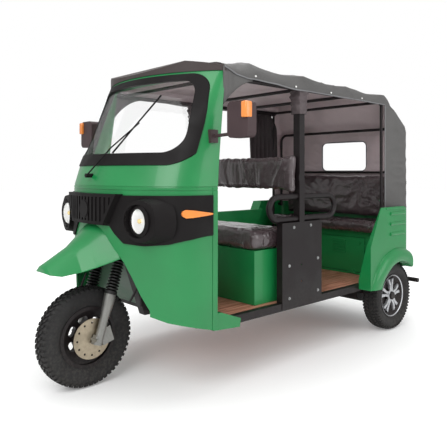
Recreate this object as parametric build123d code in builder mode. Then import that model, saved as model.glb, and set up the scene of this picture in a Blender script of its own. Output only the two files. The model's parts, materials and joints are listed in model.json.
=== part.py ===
"""Electric auto rickshaw: a three-wheeled passenger vehicle with a pressed
front cab, a vinyl canopy on a tube frame, open sides and a rear bench.

Frame: millimetres, +Z up, the ground at Z = 0, the front faces -Y and the
vehicle's left side is +X.  The origin is the bottom centre of the whole
vehicle's box.  Lengths along the vehicle are stations, measured back from
the front axle; y(station) turns one into a Y coordinate.
"""

from build123d import *
from math import cos, radians, sin, sqrt
import os

os.makedirs("parts", exist_ok=True)

# ---------------------------------------------------------------- wheels
front_tyre_radius = 275.0
front_tyre_width = 108.0
front_rim_radius = 156.0        # bead seat of the front rim
rear_tyre_radius = 252.0
rear_tyre_width = 120.0
rear_rim_radius = 152.0
wheelbase = 2232.0
rear_track = 1106.0             # between the rear wheels' centre planes
rim_wall = 8.0
bead_share = 0.74               # of a tyre's width, over its beads
disc_radius = 110.0             # front brake disc
disc_thickness = 5.0
disc_offset = 78.0              # disc's middle, out from the centre plane
axle_radius = 9.0
axle_clearance = 0.05           # running fit of a hub on its axle
spindle_radius = 15.0

# ---------------------------------------------------------------- fork
rake = 17.0                     # steering axis, leaning back, degrees
axle_lead = 27.0                # the axle ahead of the steering axis
leg_spacing = 210.0
leg_radius = 24.0               # beside the disc
leg_top_radius = 33.0
leg_length = 254.0              # alloy lower leg, above the axle
bellows_length = 208.0
bellows_radius = 36.0           # over the ribs
bellows_core = 29.0             # between the ribs
bellows_ribs = 9
yoke_thickness = 26.0
stem_radius = 15.0
stem_length = 330.0             # above the yoke
head_tube_radius = 28.0
head_tube_length = 190.0
head_gap = 6.0                  # between yoke and head tube
handlebar_radius = 11.0
handlebar_width = 620.0
handlebar_sweep = 95.0          # how far the grips lie behind the stem
grip_radius = 17.0
grip_length = 120.0

# ---------------------------------------------------------------- cab
cab_half_width = 590.0
cab_bottom = 337.0
cab_waist = 1100.0              # seam between lower shell and upper shell
cab_shoulder = 1230.0           # foot of the windscreen
cab_top = 1740.0
cab_wall = 10.0
pillar_wall = 26.0
door_station = 465.0            # rear edge of the cab below the waist
door_top_station = 545.0
cab_nose_station = 40.0
cab_sill_nose_station = 60.0
cab_shoulder_nose_station = 80.0
cab_top_nose_station = 315.0
cab_top_half_width = 566.0
roof_crown = 1822.0
roof_edge = roof_crown - 56.0
groove_heights = (1106.5, 1088.0)   # pressed lines round the waist
groove_height = 5.0
groove_depth = 3.0
flange_width = 40.0             # of the cab's rear edge, behind an upright groove
form_half_width = cab_half_width + 110.0   # clear of the whole cab

# height, half-width, front radius, corner radius, nose station
cab_sections = (
    (cab_bottom - 7, cab_half_width - 3, 836.0, 280.0, cab_sill_nose_station),
    (860.0, cab_half_width, 836.0, 280.0, cab_nose_station),
    (cab_waist, cab_half_width, 836.0, 280.0, cab_nose_station),
    (cab_shoulder, cab_half_width - 9, 820.0, 275.0, cab_shoulder_nose_station),
    (cab_top, cab_top_half_width, 868.0, 60.0, cab_top_nose_station),
)

# ---------------------------------------------------------------- floor, frame
floor_top = 377.0
floor_thickness = 12.0
sill_half_width = 544.0
sill_width = 40.0
sill_bottom = 330.0
sill_front_station = 560.0
floor_half_width = sill_half_width - sill_width - 1
sill_rear_station = 1930.0
drum_gap = 6.0                  # between a rear tyre and its brake drum
drum_width = 32.0
drum_radius = 82.0
spring_width = 45.0
spring_gap = 2.5                # between a drum and its leaf spring
rail_spacing = (rear_track - rear_tyre_width - 2 * (drum_gap + drum_width + spring_gap)
                - spring_width)
rail_width = 40.0
rail_depth = 40.0
crossmember_width = 50.0
rail_front_station = 430.0
rail_rear_station = 2500.0
crossmember_stations = (480.0, 900.0, 1300.0, 1750.0, rail_rear_station - crossmember_width / 2)

# ---------------------------------------------------------------- seats
seat_box_half_width = 466.0
seat_box_front_station = 874.0
seat_box_rear_station = 1186.0
seat_box_top = 708.0
seat_sheet = 4.0
driver_cushion_front = 845.0
driver_cushion_rear = 1190.0
driver_cushion_overhang = 18.0
driver_cushion_height = 105.0
driver_back_station = 1196.0
driver_back_thickness = 70.0
driver_back_half_width = 530.0
driver_back_bottom = 1055.0
driver_back_top = 1300.0
rear_seat_station = 2183.0
rear_seat_half_width = 470.0
rear_seat_top = 718.0
rear_cushion_front = 2090.0
rear_cushion_rear = 2400.0
rear_cushion_half_width = 528.0
rear_cushion_height = 92.0
rear_back_station = 2330.0
rear_back_thickness = 75.0
rear_back_bottom = 812.0
rear_back_top = 1172.0
battery_door_half_width = 390.0
battery_door_bottom = 398.0
battery_door_top = 668.0
battery_door_thickness = 3.0
door_gap = 5.0
vent_rows = 5                   # pressed louvres of the battery door
vent_pitch = 22.0
vent_width = 130.0
vent_low = 545.0
vent_middle = 150.0

# ---------------------------------------------------------------- rear body
tub_half_width = 642.0
tub_wall = 6.0
tub_top = 926.0
tub_bottom = 345.0
tub_rear_station = 2479.0       # middle of the rear wall
tub_rear_radius = 2477.0
tub_corner_radius = 60.0
quarter_foot_station = 1868.0
quarter_knee = 650.0
quarter_lean = 0.5              # of the front edge, above the knee
arch_gap = 45.0                 # tyre to wheelhouse
lip_gap = 14.0                  # tyre's radius to the arch's lip, outside the tyre
arch_bulge = 23.0
arch_rise = 34.0                # from the lip out to the panel
louvre_heights = (876.0, 801.0, 726.0)
louvre_front = 2130.0
louvre_rear = 2336.0
louvre_radius = 14.0

# ---------------------------------------------------------------- canopy
canopy_ceiling = 1725.0
canopy_half_width = 566.0
canopy_skin = 8.0
canopy_rear_post = 2187.0
post_size = 50.0
b_post_station = 1226.0
b_post_half_width = 546.0
rail_radius = 14.0
bow_radius = 11.0
middle_bow_station = 1720.0
rear_post_half_width = 544.0
rear_bow_station = 2340.0
rear_bow_height = 1520.0
rear_bow_half_width = 600.0
rear_corner_station = 2390.0
rear_corner_half_width = tub_half_width + 6
rear_corner_height = 1530.0
b_panel_front = 1034.0
b_panel_rear = 1427.0
b_panel_top = 869.0
b_panel_bottom = 340.0
b_panel_sheet = 4.0
b_panel_hole_radius = 5.5
b_panel_hole_spacing = 104.0
b_panel_hole_station = 1220.0
b_panel_hole_low = 493.0
side_panel_top = 861.0

# station, half-width at hem, hem height, half-width at shoulder, shoulder, crown
canopy_sections = (
    (548.0, 566.0, 1744.0, 520.0, 1790.0, 1826.0),
    (764.0, 571.0, 1716.0, 526.0, 1817.0, 1858.0),
    (1246.0, 561.0, 1700.0, 541.0, 1797.0, 1842.0),
    (1720.0, 561.0, 1697.0, 534.0, 1783.0, 1828.0),
    (canopy_rear_post, 564.0, 1690.0, 540.0, 1768.0, 1812.0),
)

# ---------------------------------------------------------------- running gear
bumper_station = 2563.0
bumper_height = 328.0
bumper_half_width = 634.0
bumper_radius = 17.0
overall_length = front_tyre_radius + bumper_station + bumper_radius
axle_tube_radius = 28.0
spring_leaf = 7.0
spring_leaves = 4
spring_arc = 9000.0             # radius of the leaves' gentle bend
spring_front_station = 1862.0
spring_rear_station = 2545.0
motor_radius = 85.0
motor_length = 230.0

# ---------------------------------------------------------------- lamps, mirrors
lamp_half_spacing = 388.0
lamp_height = 930.0
lamp_radius = 70.0
lamp_station = 91.0
lamp_recess = 16.0              # from the lens back to the pod's floor
pod_bore_radius = 87.0
pod_mouth_radius = 98.0
pod_mouth_station = 40.0
pod_root_radius = 136.0
pod_root_station = 215.0
pod_root_shift = 28.0           # outwards
band_skin = 9.0
grille_half_width = 262.0
grille_foot_half_width = 171.0
grille_top = 1061.0
grille_foot = 902.0
grille_step = 38.0              # ahead of the band
grille_border = 17.0
slat_pitch = 34.0
slat_gap = 15.0
slat_depth = 7.0
badge_radius = 46.0
mirror_half_width = 775.0
mirror_station = 455.0
mirror_height = 1452.0


def y(station):
    """Y coordinate of a station measured back from the front axle."""
    return station - (overall_length / 2 - front_tyre_radius)


def cab_plan(half_width, nose_radius, corner_radius, nose, rear):
    """Plan of the cab at one height: nose arc, two corner arcs, two sides."""
    corner_x = half_width - corner_radius
    reach = nose_radius - corner_radius
    corner_y = nose + nose_radius - sqrt(reach**2 - corner_x**2)
    middle = nose + nose_radius
    touch_x = corner_x * nose_radius / reach
    touch_y = middle + (corner_y - middle) * nose_radius / reach
    Line((half_width, rear), (half_width, corner_y))
    TangentArc((half_width, corner_y), (touch_x, touch_y), tangent=(0, -1))
    ThreePointArc((touch_x, touch_y), (0, nose), (-touch_x, touch_y))
    TangentArc((-half_width, corner_y), (-touch_x, touch_y), tangent=(0, -1))
    Line((-half_width, corner_y), (-half_width, rear))
    Line((-half_width, rear), (half_width, rear))


def cab_form(growth, sections=cab_sections, rear=form_half_width):
    """Solid form of the cab, its skin moved outwards by growth."""
    with BuildPart() as form:
        for height, half_width, nose_radius, corner_radius, nose in sections:
            with BuildSketch(Plane.XY.offset(height)):
                with BuildLine():
                    cab_plan(half_width + growth, nose_radius + growth,
                             corner_radius + growth, y(nose) - growth, y(rear))
                make_face()
        loft(ruled=True)
    return form.part


def side_prism(points, half_width):
    """Solid with the side view given as (station, height) points."""
    with BuildPart() as prism:
        with BuildSketch(Plane.YZ):
            with BuildLine():
                Polyline(*[(y(s), z) for s, z in points], close=True)
            make_face()
        extrude(amount=half_width, both=True)
    return prism.part


def front_prism(points, front, rear, radius=0.0):
    """Solid with the front view given as (x, height) points."""
    with BuildPart() as prism:
        with BuildSketch(Plane.XZ.offset(-y(rear))) as outline:
            with BuildLine():
                Polyline(*points, close=True)
            make_face()
            if radius:
                fillet(outline.vertices(), radius)
        extrude(amount=y(rear) - y(front))
    return prism.part


def mirrored(points):
    """Points of a right half, followed by their mirror image."""
    return [*points, *[(-x, z) for x, z in reversed(points) if x]]


# ================================================================ wheels
def wheel_plane(x, station, height):
    """Plane through a wheel's axle: local x along the axle, y up."""
    return Plane(origin=(x, y(station), height), x_dir=(1, 0, 0), z_dir=(0, -1, 0))


def tyre(plane, radius, width, rim_radius):
    """Tyre carcass as a ring on its rim."""
    half = width / 2
    shoulder = radius - 0.12 * radius
    with BuildPart() as ring:
        with BuildSketch(plane):
            with BuildLine():
                bead = Line((-half * 0.74, rim_radius), (half * 0.74, rim_radius))
                Line(bead @ 1, (half * 0.74, rim_radius + 14))
                ThreePointArc((half * 0.74, rim_radius + 14), (half, (rim_radius + 14 + shoulder) / 2),
                              (half * 0.93, shoulder))
                Line((half * 0.93, shoulder), (half * 0.80, radius - 6))
                ThreePointArc((half * 0.80, radius - 6), (0, radius), (-half * 0.80, radius - 6))
                Line((-half * 0.80, radius - 6), (-half * 0.93, shoulder))
                ThreePointArc((-half * 0.93, shoulder), (-half, (rim_radius + 14 + shoulder) / 2),
                              (-half * 0.74, rim_radius + 14))
                Line((-half * 0.74, rim_radius + 14), bead @ 0)
            make_face()
        revolve(axis=Axis(plane.origin, plane.x_dir))
    return ring


front_plane = wheel_plane(0, 0, front_tyre_radius)
front_tyre = tyre(front_plane, front_tyre_radius, front_tyre_width, front_rim_radius)
front_tyre.part.label = "front_tyre"
export_step(front_tyre.part, "parts/front_tyre.step")

hub_half = disc_offset - disc_thickness / 2
hub_radius = 34.0
rim_windows = 7
rim_window_radius = 96.0
rim_window_length = 58.0
rim_window_width = 34.0
with BuildPart() as front_rim:
    with BuildSketch(front_plane):
        bead = front_tyre_width / 2 * bead_share
        flange = bead + 5
        with BuildLine():
            Polyline((-flange, front_rim_radius + 12), (-bead, front_rim_radius + 12),
                     (-bead, front_rim_radius), (bead, front_rim_radius),
                     (bead, front_rim_radius + 12), (flange, front_rim_radius + 12),
                     (flange, front_rim_radius - rim_wall), (bead - 14, front_rim_radius - rim_wall),
                     (8, hub_radius + 12), (hub_half - 8, hub_radius), (hub_half, hub_radius),
                     (hub_half, axle_radius + axle_clearance),
                     (-hub_half, axle_radius + axle_clearance), (-hub_half, hub_radius - 6),
                     (-8, hub_radius + 6), (-8, hub_radius + 16),
                     (-bead + 8, front_rim_radius - rim_wall), (-flange, front_rim_radius - rim_wall),
                     close=True)
        make_face()
    revolve(axis=Axis(front_plane.origin, front_plane.x_dir))
    with BuildSketch(Plane.YZ.offset(-flange)):
        with Locations((y(0), front_tyre_radius)):
            with PolarLocations(rim_window_radius, rim_windows):
                SlotOverall(rim_window_length, rim_window_width, rotation=90)
    extrude(amount=2 * flange, mode=Mode.SUBTRACT)
front_rim.part.label = "front_rim"
export_step(front_rim.part, "parts/front_rim.step")

with BuildPart() as brake_disc:
    with BuildSketch(Plane.YZ.offset(hub_half)):
        with Locations((y(0), front_tyre_radius)):
            Circle(disc_radius)
            Circle(axle_radius + axle_clearance, mode=Mode.SUBTRACT)
            with PolarLocations(disc_radius - 22, 12):
                Circle(6, mode=Mode.SUBTRACT)
    extrude(amount=disc_thickness)
brake_disc.part.label = "brake_disc"
export_step(brake_disc.part, "parts/brake_disc.step")

spoke_count = 5
for side, name in ((1, "left"), (-1, "right")):
    rear_plane = wheel_plane(side * rear_track / 2, wheelbase, rear_tyre_radius)
    rear_tyre = tyre(rear_plane, rear_tyre_radius, rear_tyre_width, rear_rim_radius)
    rear_tyre.part.label = f"rear_tyre_{name}"
    export_step(rear_tyre.part, f"parts/rear_tyre_{name}.step")

    bead = rear_tyre_width / 2 * bead_share
    with BuildPart() as rear_rim:
        with BuildSketch(rear_plane):
            with BuildLine():
                Polyline((-bead, rear_rim_radius), (bead, rear_rim_radius),
                         (bead, rear_rim_radius - rim_wall), (-bead, rear_rim_radius - rim_wall),
                         close=True)
            make_face()
            dish_outer = rear_rim_radius - rim_wall + 1
            dish_inner = spindle_radius + axle_clearance
            with Locations((side * (bead - 22), (dish_outer + dish_inner) / 2)):
                Rectangle(24, dish_outer - dish_inner)
        revolve(axis=Axis(rear_plane.origin, rear_plane.x_dir))
        with BuildSketch(Plane(origin=(rear_plane.origin.X - side * bead, rear_plane.origin.Y,
                                       rear_plane.origin.Z), x_dir=(0, 1, 0), z_dir=(side, 0, 0))):
            with PolarLocations(88, spoke_count):
                SlotOverall(72, 46, rotation=90)
        extrude(amount=2 * bead, mode=Mode.SUBTRACT)
    rear_rim.part.label = f"rear_rim_{name}"
    export_step(rear_rim.part, f"parts/rear_rim_{name}.step")

# ================================================================ steering
lean = radians(rake)
axis_up = Vector(0, sin(lean), cos(lean))
axis_foot = Vector(0, y(0) + axle_lead * cos(lean), front_tyre_radius - axle_lead * sin(lean))


def fork_plane(along, across=0.0, back=0.0):
    """Plane square to the steering axis; local y points back and down."""
    origin = axis_foot + axis_up * along + Vector(across, back * cos(lean), -back * sin(lean))
    return Plane(origin=origin, x_dir=(1, 0, 0), z_dir=axis_up)


leg_top = leg_length
bellows_top = leg_top + bellows_length
yoke_top = bellows_top + yoke_thickness

with BuildPart() as fork_legs:
    for across in (-leg_spacing / 2, leg_spacing / 2):
        with BuildSketch(fork_plane(-leg_radius, across)):
            Circle(leg_radius)
        extrude(amount=disc_radius + 15 + leg_radius)
        with BuildSketch(fork_plane(disc_radius + 14, across)):
            Circle(leg_radius)
        with BuildSketch(fork_plane(leg_length - 30, across)):
            Circle(leg_top_radius)
        loft()
        with BuildSketch(fork_plane(leg_length - 30, across)):
            Circle(leg_top_radius)
        extrude(amount=30)
        with BuildSketch(fork_plane(-leg_radius, across, -axle_lead / 2)):
            Rectangle(2 * (leg_radius - 6), axle_lead + 8)
        extrude(amount=2 * leg_radius)
    with BuildSketch(Plane.YZ.offset(-leg_spacing / 2 - leg_radius - 14)):
        with Locations((y(0), front_tyre_radius)):
            Circle(axle_radius)
    extrude(amount=leg_spacing + 2 * leg_radius + 28)
fork_legs.part.label = "fork_legs"
export_step(fork_legs.part, "parts/fork_legs.step")

rib_pitch = bellows_length / bellows_ribs
with BuildPart() as fork_bellows:
    for across in (-leg_spacing / 2, leg_spacing / 2):
        with Locations(fork_plane(leg_top, across)):
            Cylinder(bellows_core, bellows_length, align=(Align.CENTER, Align.CENTER, Align.MIN))
        for rib in range(bellows_ribs):
            with Locations(fork_plane(leg_top + rib_pitch * (rib + 0.5), across)):
                Cone(bellows_radius, bellows_core - 1, rib_pitch * 0.6)
fork_bellows.part.label = "fork_bellows"
export_step(fork_bellows.part, "parts/fork_bellows.step")

with BuildPart() as fork_yoke:
    with BuildSketch(fork_plane(bellows_top)):
        SlotCenterToCenter(leg_spacing, 2 * bellows_radius)
        Circle(bellows_radius + 14)
    extrude(amount=yoke_thickness)
    with BuildSketch(fork_plane(yoke_top)):
        Circle(stem_radius)
    extrude(amount=stem_length)
fork_yoke.part.label = "fork_yoke"
export_step(fork_yoke.part, "parts/fork_yoke.step")

clamp_wall = 6.0
bar_plane = fork_plane(yoke_top + stem_length + handlebar_radius + clamp_wall)
half_bar = handlebar_width / 2
with BuildPart() as handlebar:
    with BuildLine(bar_plane):
        bar_path = FilletPolyline((-half_bar, handlebar_sweep), (-110, 0), (110, 0),
                                  (half_bar, handlebar_sweep), radius=60)
    with BuildSketch(Plane(origin=bar_path @ 0, z_dir=bar_path % 0)):
        Circle(handlebar_radius)
    sweep(path=bar_path)
    for end, inward in ((0, 1), (1, -1)):
        way = (bar_path % end) * inward
        with Locations(Plane(origin=(bar_path @ end) - way * 2, z_dir=way)):
            Cylinder(grip_radius, grip_length, align=(Align.CENTER, Align.CENTER, Align.MIN))
    with BuildSketch(fork_plane(yoke_top + stem_length)):
        Rectangle(60, 2 * (handlebar_radius + clamp_wall) + 8)
    extrude(amount=2 * (handlebar_radius + clamp_wall))
handlebar.part.label = "handlebar"
export_step(handlebar.part, "parts/handlebar.step")

with BuildPart() as brake_caliper:
    with BuildSketch(Plane.YZ.offset(hub_half - 12)):
        with Locations((y(0) + disc_radius * 0.72, front_tyre_radius + 8)):
            Rectangle(70, 88, rotation=rake)
    extrude(amount=leg_spacing / 2 - leg_radius - hub_half + 12 + 20)
    with BuildSketch(Plane.YZ.offset(hub_half - 5)):
        with Locations((y(0), front_tyre_radius)):
            Circle(disc_radius + 5)
    extrude(amount=disc_thickness + 10, mode=Mode.SUBTRACT)
    add(fork_legs.part, mode=Mode.SUBTRACT)
brake_caliper.part.label = "brake_caliper"
export_step(brake_caliper.part, "parts/brake_caliper.step")

# ================================================================ chassis
floor_bottom = floor_top - floor_thickness
rail_top = floor_bottom
with BuildPart() as chassis_frame:
    with BuildSketch(Plane.XY.offset(rail_top - rail_depth)):
        with Locations(*[(x, (y(rail_front_station) + y(rail_rear_station)) / 2)
                         for x in (-rail_spacing / 2, rail_spacing / 2)]):
            Rectangle(rail_width, rail_rear_station - rail_front_station)
        with Locations(*[(0, y(s)) for s in crossmember_stations]):
            Rectangle(rail_spacing, crossmember_width)
        with Locations(*[(0, y(s)) for s in crossmember_stations[1:4]]):
            Rectangle(2 * (sill_half_width - sill_width), crossmember_width)
    extrude(amount=rail_depth)
    with BuildSketch(Plane.XY.offset(sill_bottom)):
        with Locations(*[(side * (sill_half_width - sill_width / 2),
                          (y(sill_front_station) + y(sill_rear_station)) / 2) for side in (-1, 1)]):
            Rectangle(sill_width, sill_rear_station - sill_front_station)
    extrude(amount=floor_top - sill_bottom)
    with BuildSketch(fork_plane(yoke_top + head_gap)):
        Circle(head_tube_radius)
    extrude(amount=head_tube_length)
    with BuildSketch(Plane.YZ):
        with BuildLine():
            Polyline((y(212), 815), (y(240), 900), (y(430), 365), (y(505), 325), (y(380), 325), close=True)
        make_face()
    extrude(amount=30, both=True)
    with BuildSketch(fork_plane(yoke_top + head_gap - 60)):
        Circle(stem_radius + 1)
    extrude(amount=head_tube_length + 200, mode=Mode.SUBTRACT)
chassis_frame.part.label = "chassis_frame"
export_step(chassis_frame.part, "parts/chassis_frame.step")

# ================================================================ cab
cab_outer = cab_form(0)
lower_inner = cab_form(-cab_wall)
upper_inner = cab_form(-pillar_wall)
door_line = ((door_station, cab_bottom - 60), (door_station, cab_waist),
             (door_top_station, cab_top + 30))
cab_side_view = side_prism([(-100, cab_bottom - 60), *door_line, (-100, cab_top + 30)], form_half_width)

# lower edge of the lower shell, then the arch over the front wheel
sill_edge = ((door_station, cab_bottom), (212.0, 402.0), (125.0, 444.0), (93.0, 476.0), (-100.0, 476.0))
under_edge = side_prism([*sill_edge, (-100, 250), (door_station + 50, 250)], form_half_width)
arch_edge = mirrored([(400.0, 380.0), (400.0, 459.0), (350.0, 542.0), (307.0, 627.0), (262.0, 700.0),
                      (236.0, 730.0), (150.0, 800.0), (110.0, 862.0)])
wheel_arch = front_prism(arch_edge, -60, 300)

groove_station = door_station - flange_width
with BuildPart() as grooves:
    for height in groove_heights:
        with BuildSketch(Plane.XY.offset(height - groove_height / 2)):
            Rectangle(2 * form_half_width, 2 * overall_length)
        extrude(amount=groove_height)
    add(side_prism([(groove_station, 0), (groove_station, cab_waist),
                    (groove_station + groove_height, cab_waist), (groove_station + groove_height, 0)],
                   form_half_width))
    add(cab_form(groove_depth), mode=Mode.INTERSECT)
    add(cab_form(-groove_depth), mode=Mode.SUBTRACT)

foot_plate = ((door_station - 22, 430.0), (505.0, 424.0), (647.0, floor_top - 8), (638.0, 322.0),
              (499.0, 333.0), (door_station - 22, cab_bottom))
with BuildPart() as foot_plates:
    add(side_prism(foot_plate, cab_half_width - cab_wall))
    with BuildSketch(Plane.XY):
        Rectangle(2 * sill_half_width, 2 * overall_length)
    extrude(amount=cab_bottom + 100, mode=Mode.SUBTRACT)

with BuildPart() as cab_lower_shell:
    add(cab_outer)
    add(lower_inner, mode=Mode.SUBTRACT)
    add(cab_side_view, mode=Mode.INTERSECT)
    split(bisect_by=Plane.XY.offset(cab_waist), keep=Keep.BOTTOM)
    add(under_edge, mode=Mode.SUBTRACT)
    add(wheel_arch, mode=Mode.SUBTRACT)
    add(grooves.part, mode=Mode.SUBTRACT)
    add(foot_plates.part)
cab_lower_shell.part.label = "cab_lower_shell"
export_step(cab_lower_shell.part, "parts/cab_lower_shell.step")

glass_edge = mirrored([(0.0, 1288.0), (505.0, 1288.0), (505.0, 1400.0), (468.0, 1690.0), (0.0, 1690.0)])
frame_edge = mirrored([(0.0, 1221.0), (566.0, 1221.0), (562.0, 1400.0), (525.0, 1728.0), (0.0, 1728.0)])
screen_rear = side_prism([(-50, 1100), (345, 1100), (345, 1290), (505, 1740), (-50, 1740)], form_half_width)


def screen_piece(edge, outer, inner, radius):
    """Slice of the cab's skin between two growths, inside a front-view edge."""
    with BuildPart() as piece:
        add(front_prism(edge, -50, 560, radius))
        add(screen_rear, mode=Mode.INTERSECT)
        add(outer, mode=Mode.INTERSECT)
        add(inner, mode=Mode.SUBTRACT)
    return piece


frame_cut = screen_piece(frame_edge, cab_form(20), cab_form(-pillar_wall - 8), 110)
with BuildPart() as cab_upper_shell:
    add(cab_outer)
    add(upper_inner, mode=Mode.SUBTRACT)
    add(cab_side_view, mode=Mode.INTERSECT)
    split(bisect_by=Plane.XY.offset(cab_waist), keep=Keep.TOP)
    add(frame_cut.part, mode=Mode.SUBTRACT)
    add(grooves.part, mode=Mode.SUBTRACT)
cab_upper_shell.part.label = "cab_upper_shell"
export_step(cab_upper_shell.part, "parts/cab_upper_shell.step")

glass_cut = screen_piece(glass_edge, cab_form(20), cab_form(-pillar_wall - 8), 90)
windscreen_frame = screen_piece(frame_edge, cab_form(6), upper_inner, 110)
with windscreen_frame:
    add(glass_cut.part, mode=Mode.SUBTRACT)
windscreen_frame.part.label = "windscreen_frame"
export_step(windscreen_frame.part, "parts/windscreen_frame.step")

windscreen_glass = screen_piece(glass_edge, cab_form(-6), cab_form(-12), 90)
windscreen_glass.part.label = "windscreen_glass"
export_step(windscreen_glass.part, "parts/windscreen_glass.step")

roof_radius = (cab_top_half_width**2 + (roof_crown - roof_edge) ** 2) / (2 * (roof_crown - roof_edge))
roof_line = ((cab_top_nose_station - 5, cab_top), (cab_top_nose_station - 5, roof_crown - 70),
             (400.0, roof_crown - 26),
             (500.0, roof_crown), (door_top_station, roof_crown + 2), (door_top_station, cab_top))


def roof_form(rise):
    """Crowned roof over the cab, its top raised by rise."""
    with BuildPart() as form:
        with BuildSketch(Plane.XY.offset(cab_top)):
            with BuildLine():
                cab_plan(cab_top_half_width + rise, 868.0 + rise, 60.0 + rise,
                         y(cab_top_nose_station) - rise, y(700))
            make_face()
        extrude(amount=120 + rise)
        with BuildSketch(Plane.XZ.offset(-y(800))):
            with Locations((0, roof_crown - roof_radius)):
                Circle(roof_radius + rise)
        extrude(amount=800, mode=Mode.INTERSECT)
        lifted = [(s, z + (rise if z > cab_top else 0)) for s, z in roof_line]
        add(side_prism([(lifted[0][0] - rise, cab_top), (lifted[1][0] - rise, lifted[1][1]), *lifted[2:]],
                       700), mode=Mode.INTERSECT)
    return form


cab_roof = roof_form(0)
cab_roof.part.label = "cab_roof"
export_step(cab_roof.part, "parts/cab_roof.step")

liner_edge = ((440.0, floor_bottom - 8), (440.0, floor_top), (362.0, 560.0), (290.0, 770.0), (20.0, 905.0),
              (20.0, 897.0), (284.0, 764.0), (354.0, 558.0), (432.0, 372.0), (432.0, floor_bottom - 8))
with BuildPart() as wheel_well:
    add(side_prism(liner_edge, form_half_width))
    add(lower_inner, mode=Mode.INTERSECT)
    with BuildSketch(fork_plane(yoke_top - 100)):
        Circle(head_tube_radius + 4)
    extrude(amount=400, mode=Mode.SUBTRACT)
    add(chassis_frame.part, mode=Mode.SUBTRACT)
wheel_well.part.label = "wheel_well"
export_step(wheel_well.part, "parts/wheel_well.step")

with BuildPart() as dashboard:
    add(side_prism([(40, 1140), (300, 1136), (330, 1165), (300, 1190), (40, 1215)], form_half_width))
    add(upper_inner, mode=Mode.INTERSECT)
dashboard.part.label = "dashboard"
export_step(dashboard.part, "parts/dashboard.step")

# station, half-width, lower edge, ridge
beak_sections = (
    (-253.0, 50.0, 662.0, 680.0),
    (-243.0, 84.0, 655.0, 694.0),
    (-190.0, 114.0, 646.0, 724.0),
    (-91.0, 138.0, 660.0, 782.0),
    (-25.0, 184.0, 684.0, 836.0),
    (75.0, 238.0, 722.0, 930.0),
    (180.0, 262.0, 742.0, 1000.0),
)
beak_wall = 6.0
crease_half_width = 0.60        # of the beak's half-width
crease_height = 0.66            # of the beak's height


def beak_form(wall, foot):
    """Duck-bill form over the front wheel, thinned all round by wall."""
    with BuildPart() as form:
        for station, half_width, low, ridge in beak_sections:
            tip = station == beak_sections[0][0]
            with BuildSketch(Plane.XZ.offset(-y(station + (wall if tip else 0)))):
                w = half_width - wall
                crease = (w * crease_half_width, low + (ridge - wall - low) * crease_height)
                with BuildLine():
                    Line((w, low - foot), (-w, low - foot))
                    Line((-w, low - foot), (-w, low))
                    Line((-w, low), (-crease[0], crease[1]))
                    ThreePointArc((-crease[0], crease[1]), (0, ridge - wall), crease)
                    Line(crease, (w, low))
                    Line((w, low), (w, low - foot))
                make_face()
        loft(ruled=True)
    return form


front_mudguard = beak_form(0, 4)
with front_mudguard:
    add(beak_form(beak_wall, 20).part, mode=Mode.SUBTRACT)
    add(cab_outer, mode=Mode.SUBTRACT)
front_mudguard.part.label = "front_mudguard"
export_step(front_mudguard.part, "parts/front_mudguard.step")

# ================================================================ face of the cab
band_edge = mirrored([(0.0, grille_top - 2), (610.0, grille_top + 2), (610.0, 861.0), (570.0, 835.0),
                      (500.0, 810.0), (388.0, 798.0), (270.0, 806.0), (210.0, 856.0),
                      (grille_foot_half_width + 4, grille_foot - 8), (0.0, grille_foot - 8)])
lamp_spots = [(-lamp_half_spacing, lamp_height), (lamp_half_spacing, lamp_height)]


def grille_edge(border):
    """Front view of the grille, its border taken off all round."""
    return mirrored([(0.0, grille_top + 6 - border), (grille_half_width - border, grille_top + 6 - border),
                     (grille_foot_half_width - border, grille_foot + border), (0.0, grille_foot + border)])


def grille_form(growth):
    """The cab's form, stepped forward to the face of the grille."""
    return cab_form(growth).moved(Location((0, -grille_step, 0)))


slat_slots = int((grille_half_width - grille_border) / slat_pitch)
with BuildPart() as grille_slots:
    with BuildSketch(Plane.XZ.offset(-y(150))):
        with Locations(*[((i + 0.5) * slat_pitch, (grille_top + grille_foot) / 2)
                         for i in range(-slat_slots, slat_slots)]):
            Rectangle(slat_gap, grille_top - grille_foot)
        with BuildLine():
            Polyline(*grille_edge(grille_border), close=True)
        make_face(mode=Mode.INTERSECT)
        with Locations((0, (grille_top + grille_foot) / 2)):
            Circle(badge_radius + 6, mode=Mode.SUBTRACT)
    extrude(amount=300)
    add(grille_form(band_skin - slat_depth), mode=Mode.SUBTRACT)

# plan of what lies ahead of the pods' mouths: x, station
pod_front = ((150.0, -120.0), (262.0, 50.0), (490.0, 112.0), (700.0, 112.0), (700.0, -120.0))
with BuildPart() as lamp_pods:
    for side in (-1, 1):
        with BuildSketch(Plane.XZ.offset(-y(pod_mouth_station))):
            with Locations((side * lamp_half_spacing, lamp_height)):
                Circle(pod_mouth_radius)
        with BuildSketch(Plane.XZ.offset(-y(pod_root_station))):
            with Locations((side * (lamp_half_spacing + pod_root_shift), lamp_height)):
                Circle(pod_root_radius)
        loft()
        with BuildSketch(Plane.XY.offset(lamp_height - 200)):
            with BuildLine():
                Polyline(*[(side * x, y(station)) for x, station in pod_front], close=True)
            make_face()
        extrude(amount=400, mode=Mode.SUBTRACT)

with BuildPart() as lamp_bores:
    with BuildSketch(Plane.XZ.offset(-y(lamp_station + lamp_recess))):
        with Locations(*lamp_spots):
            Circle(pod_bore_radius)
    extrude(amount=150)
    with BuildSketch(Plane.XZ.offset(-y(lamp_station) + 5)):
        with Locations(*lamp_spots):
            Circle(lamp_radius)
    extrude(amount=-200)

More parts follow.
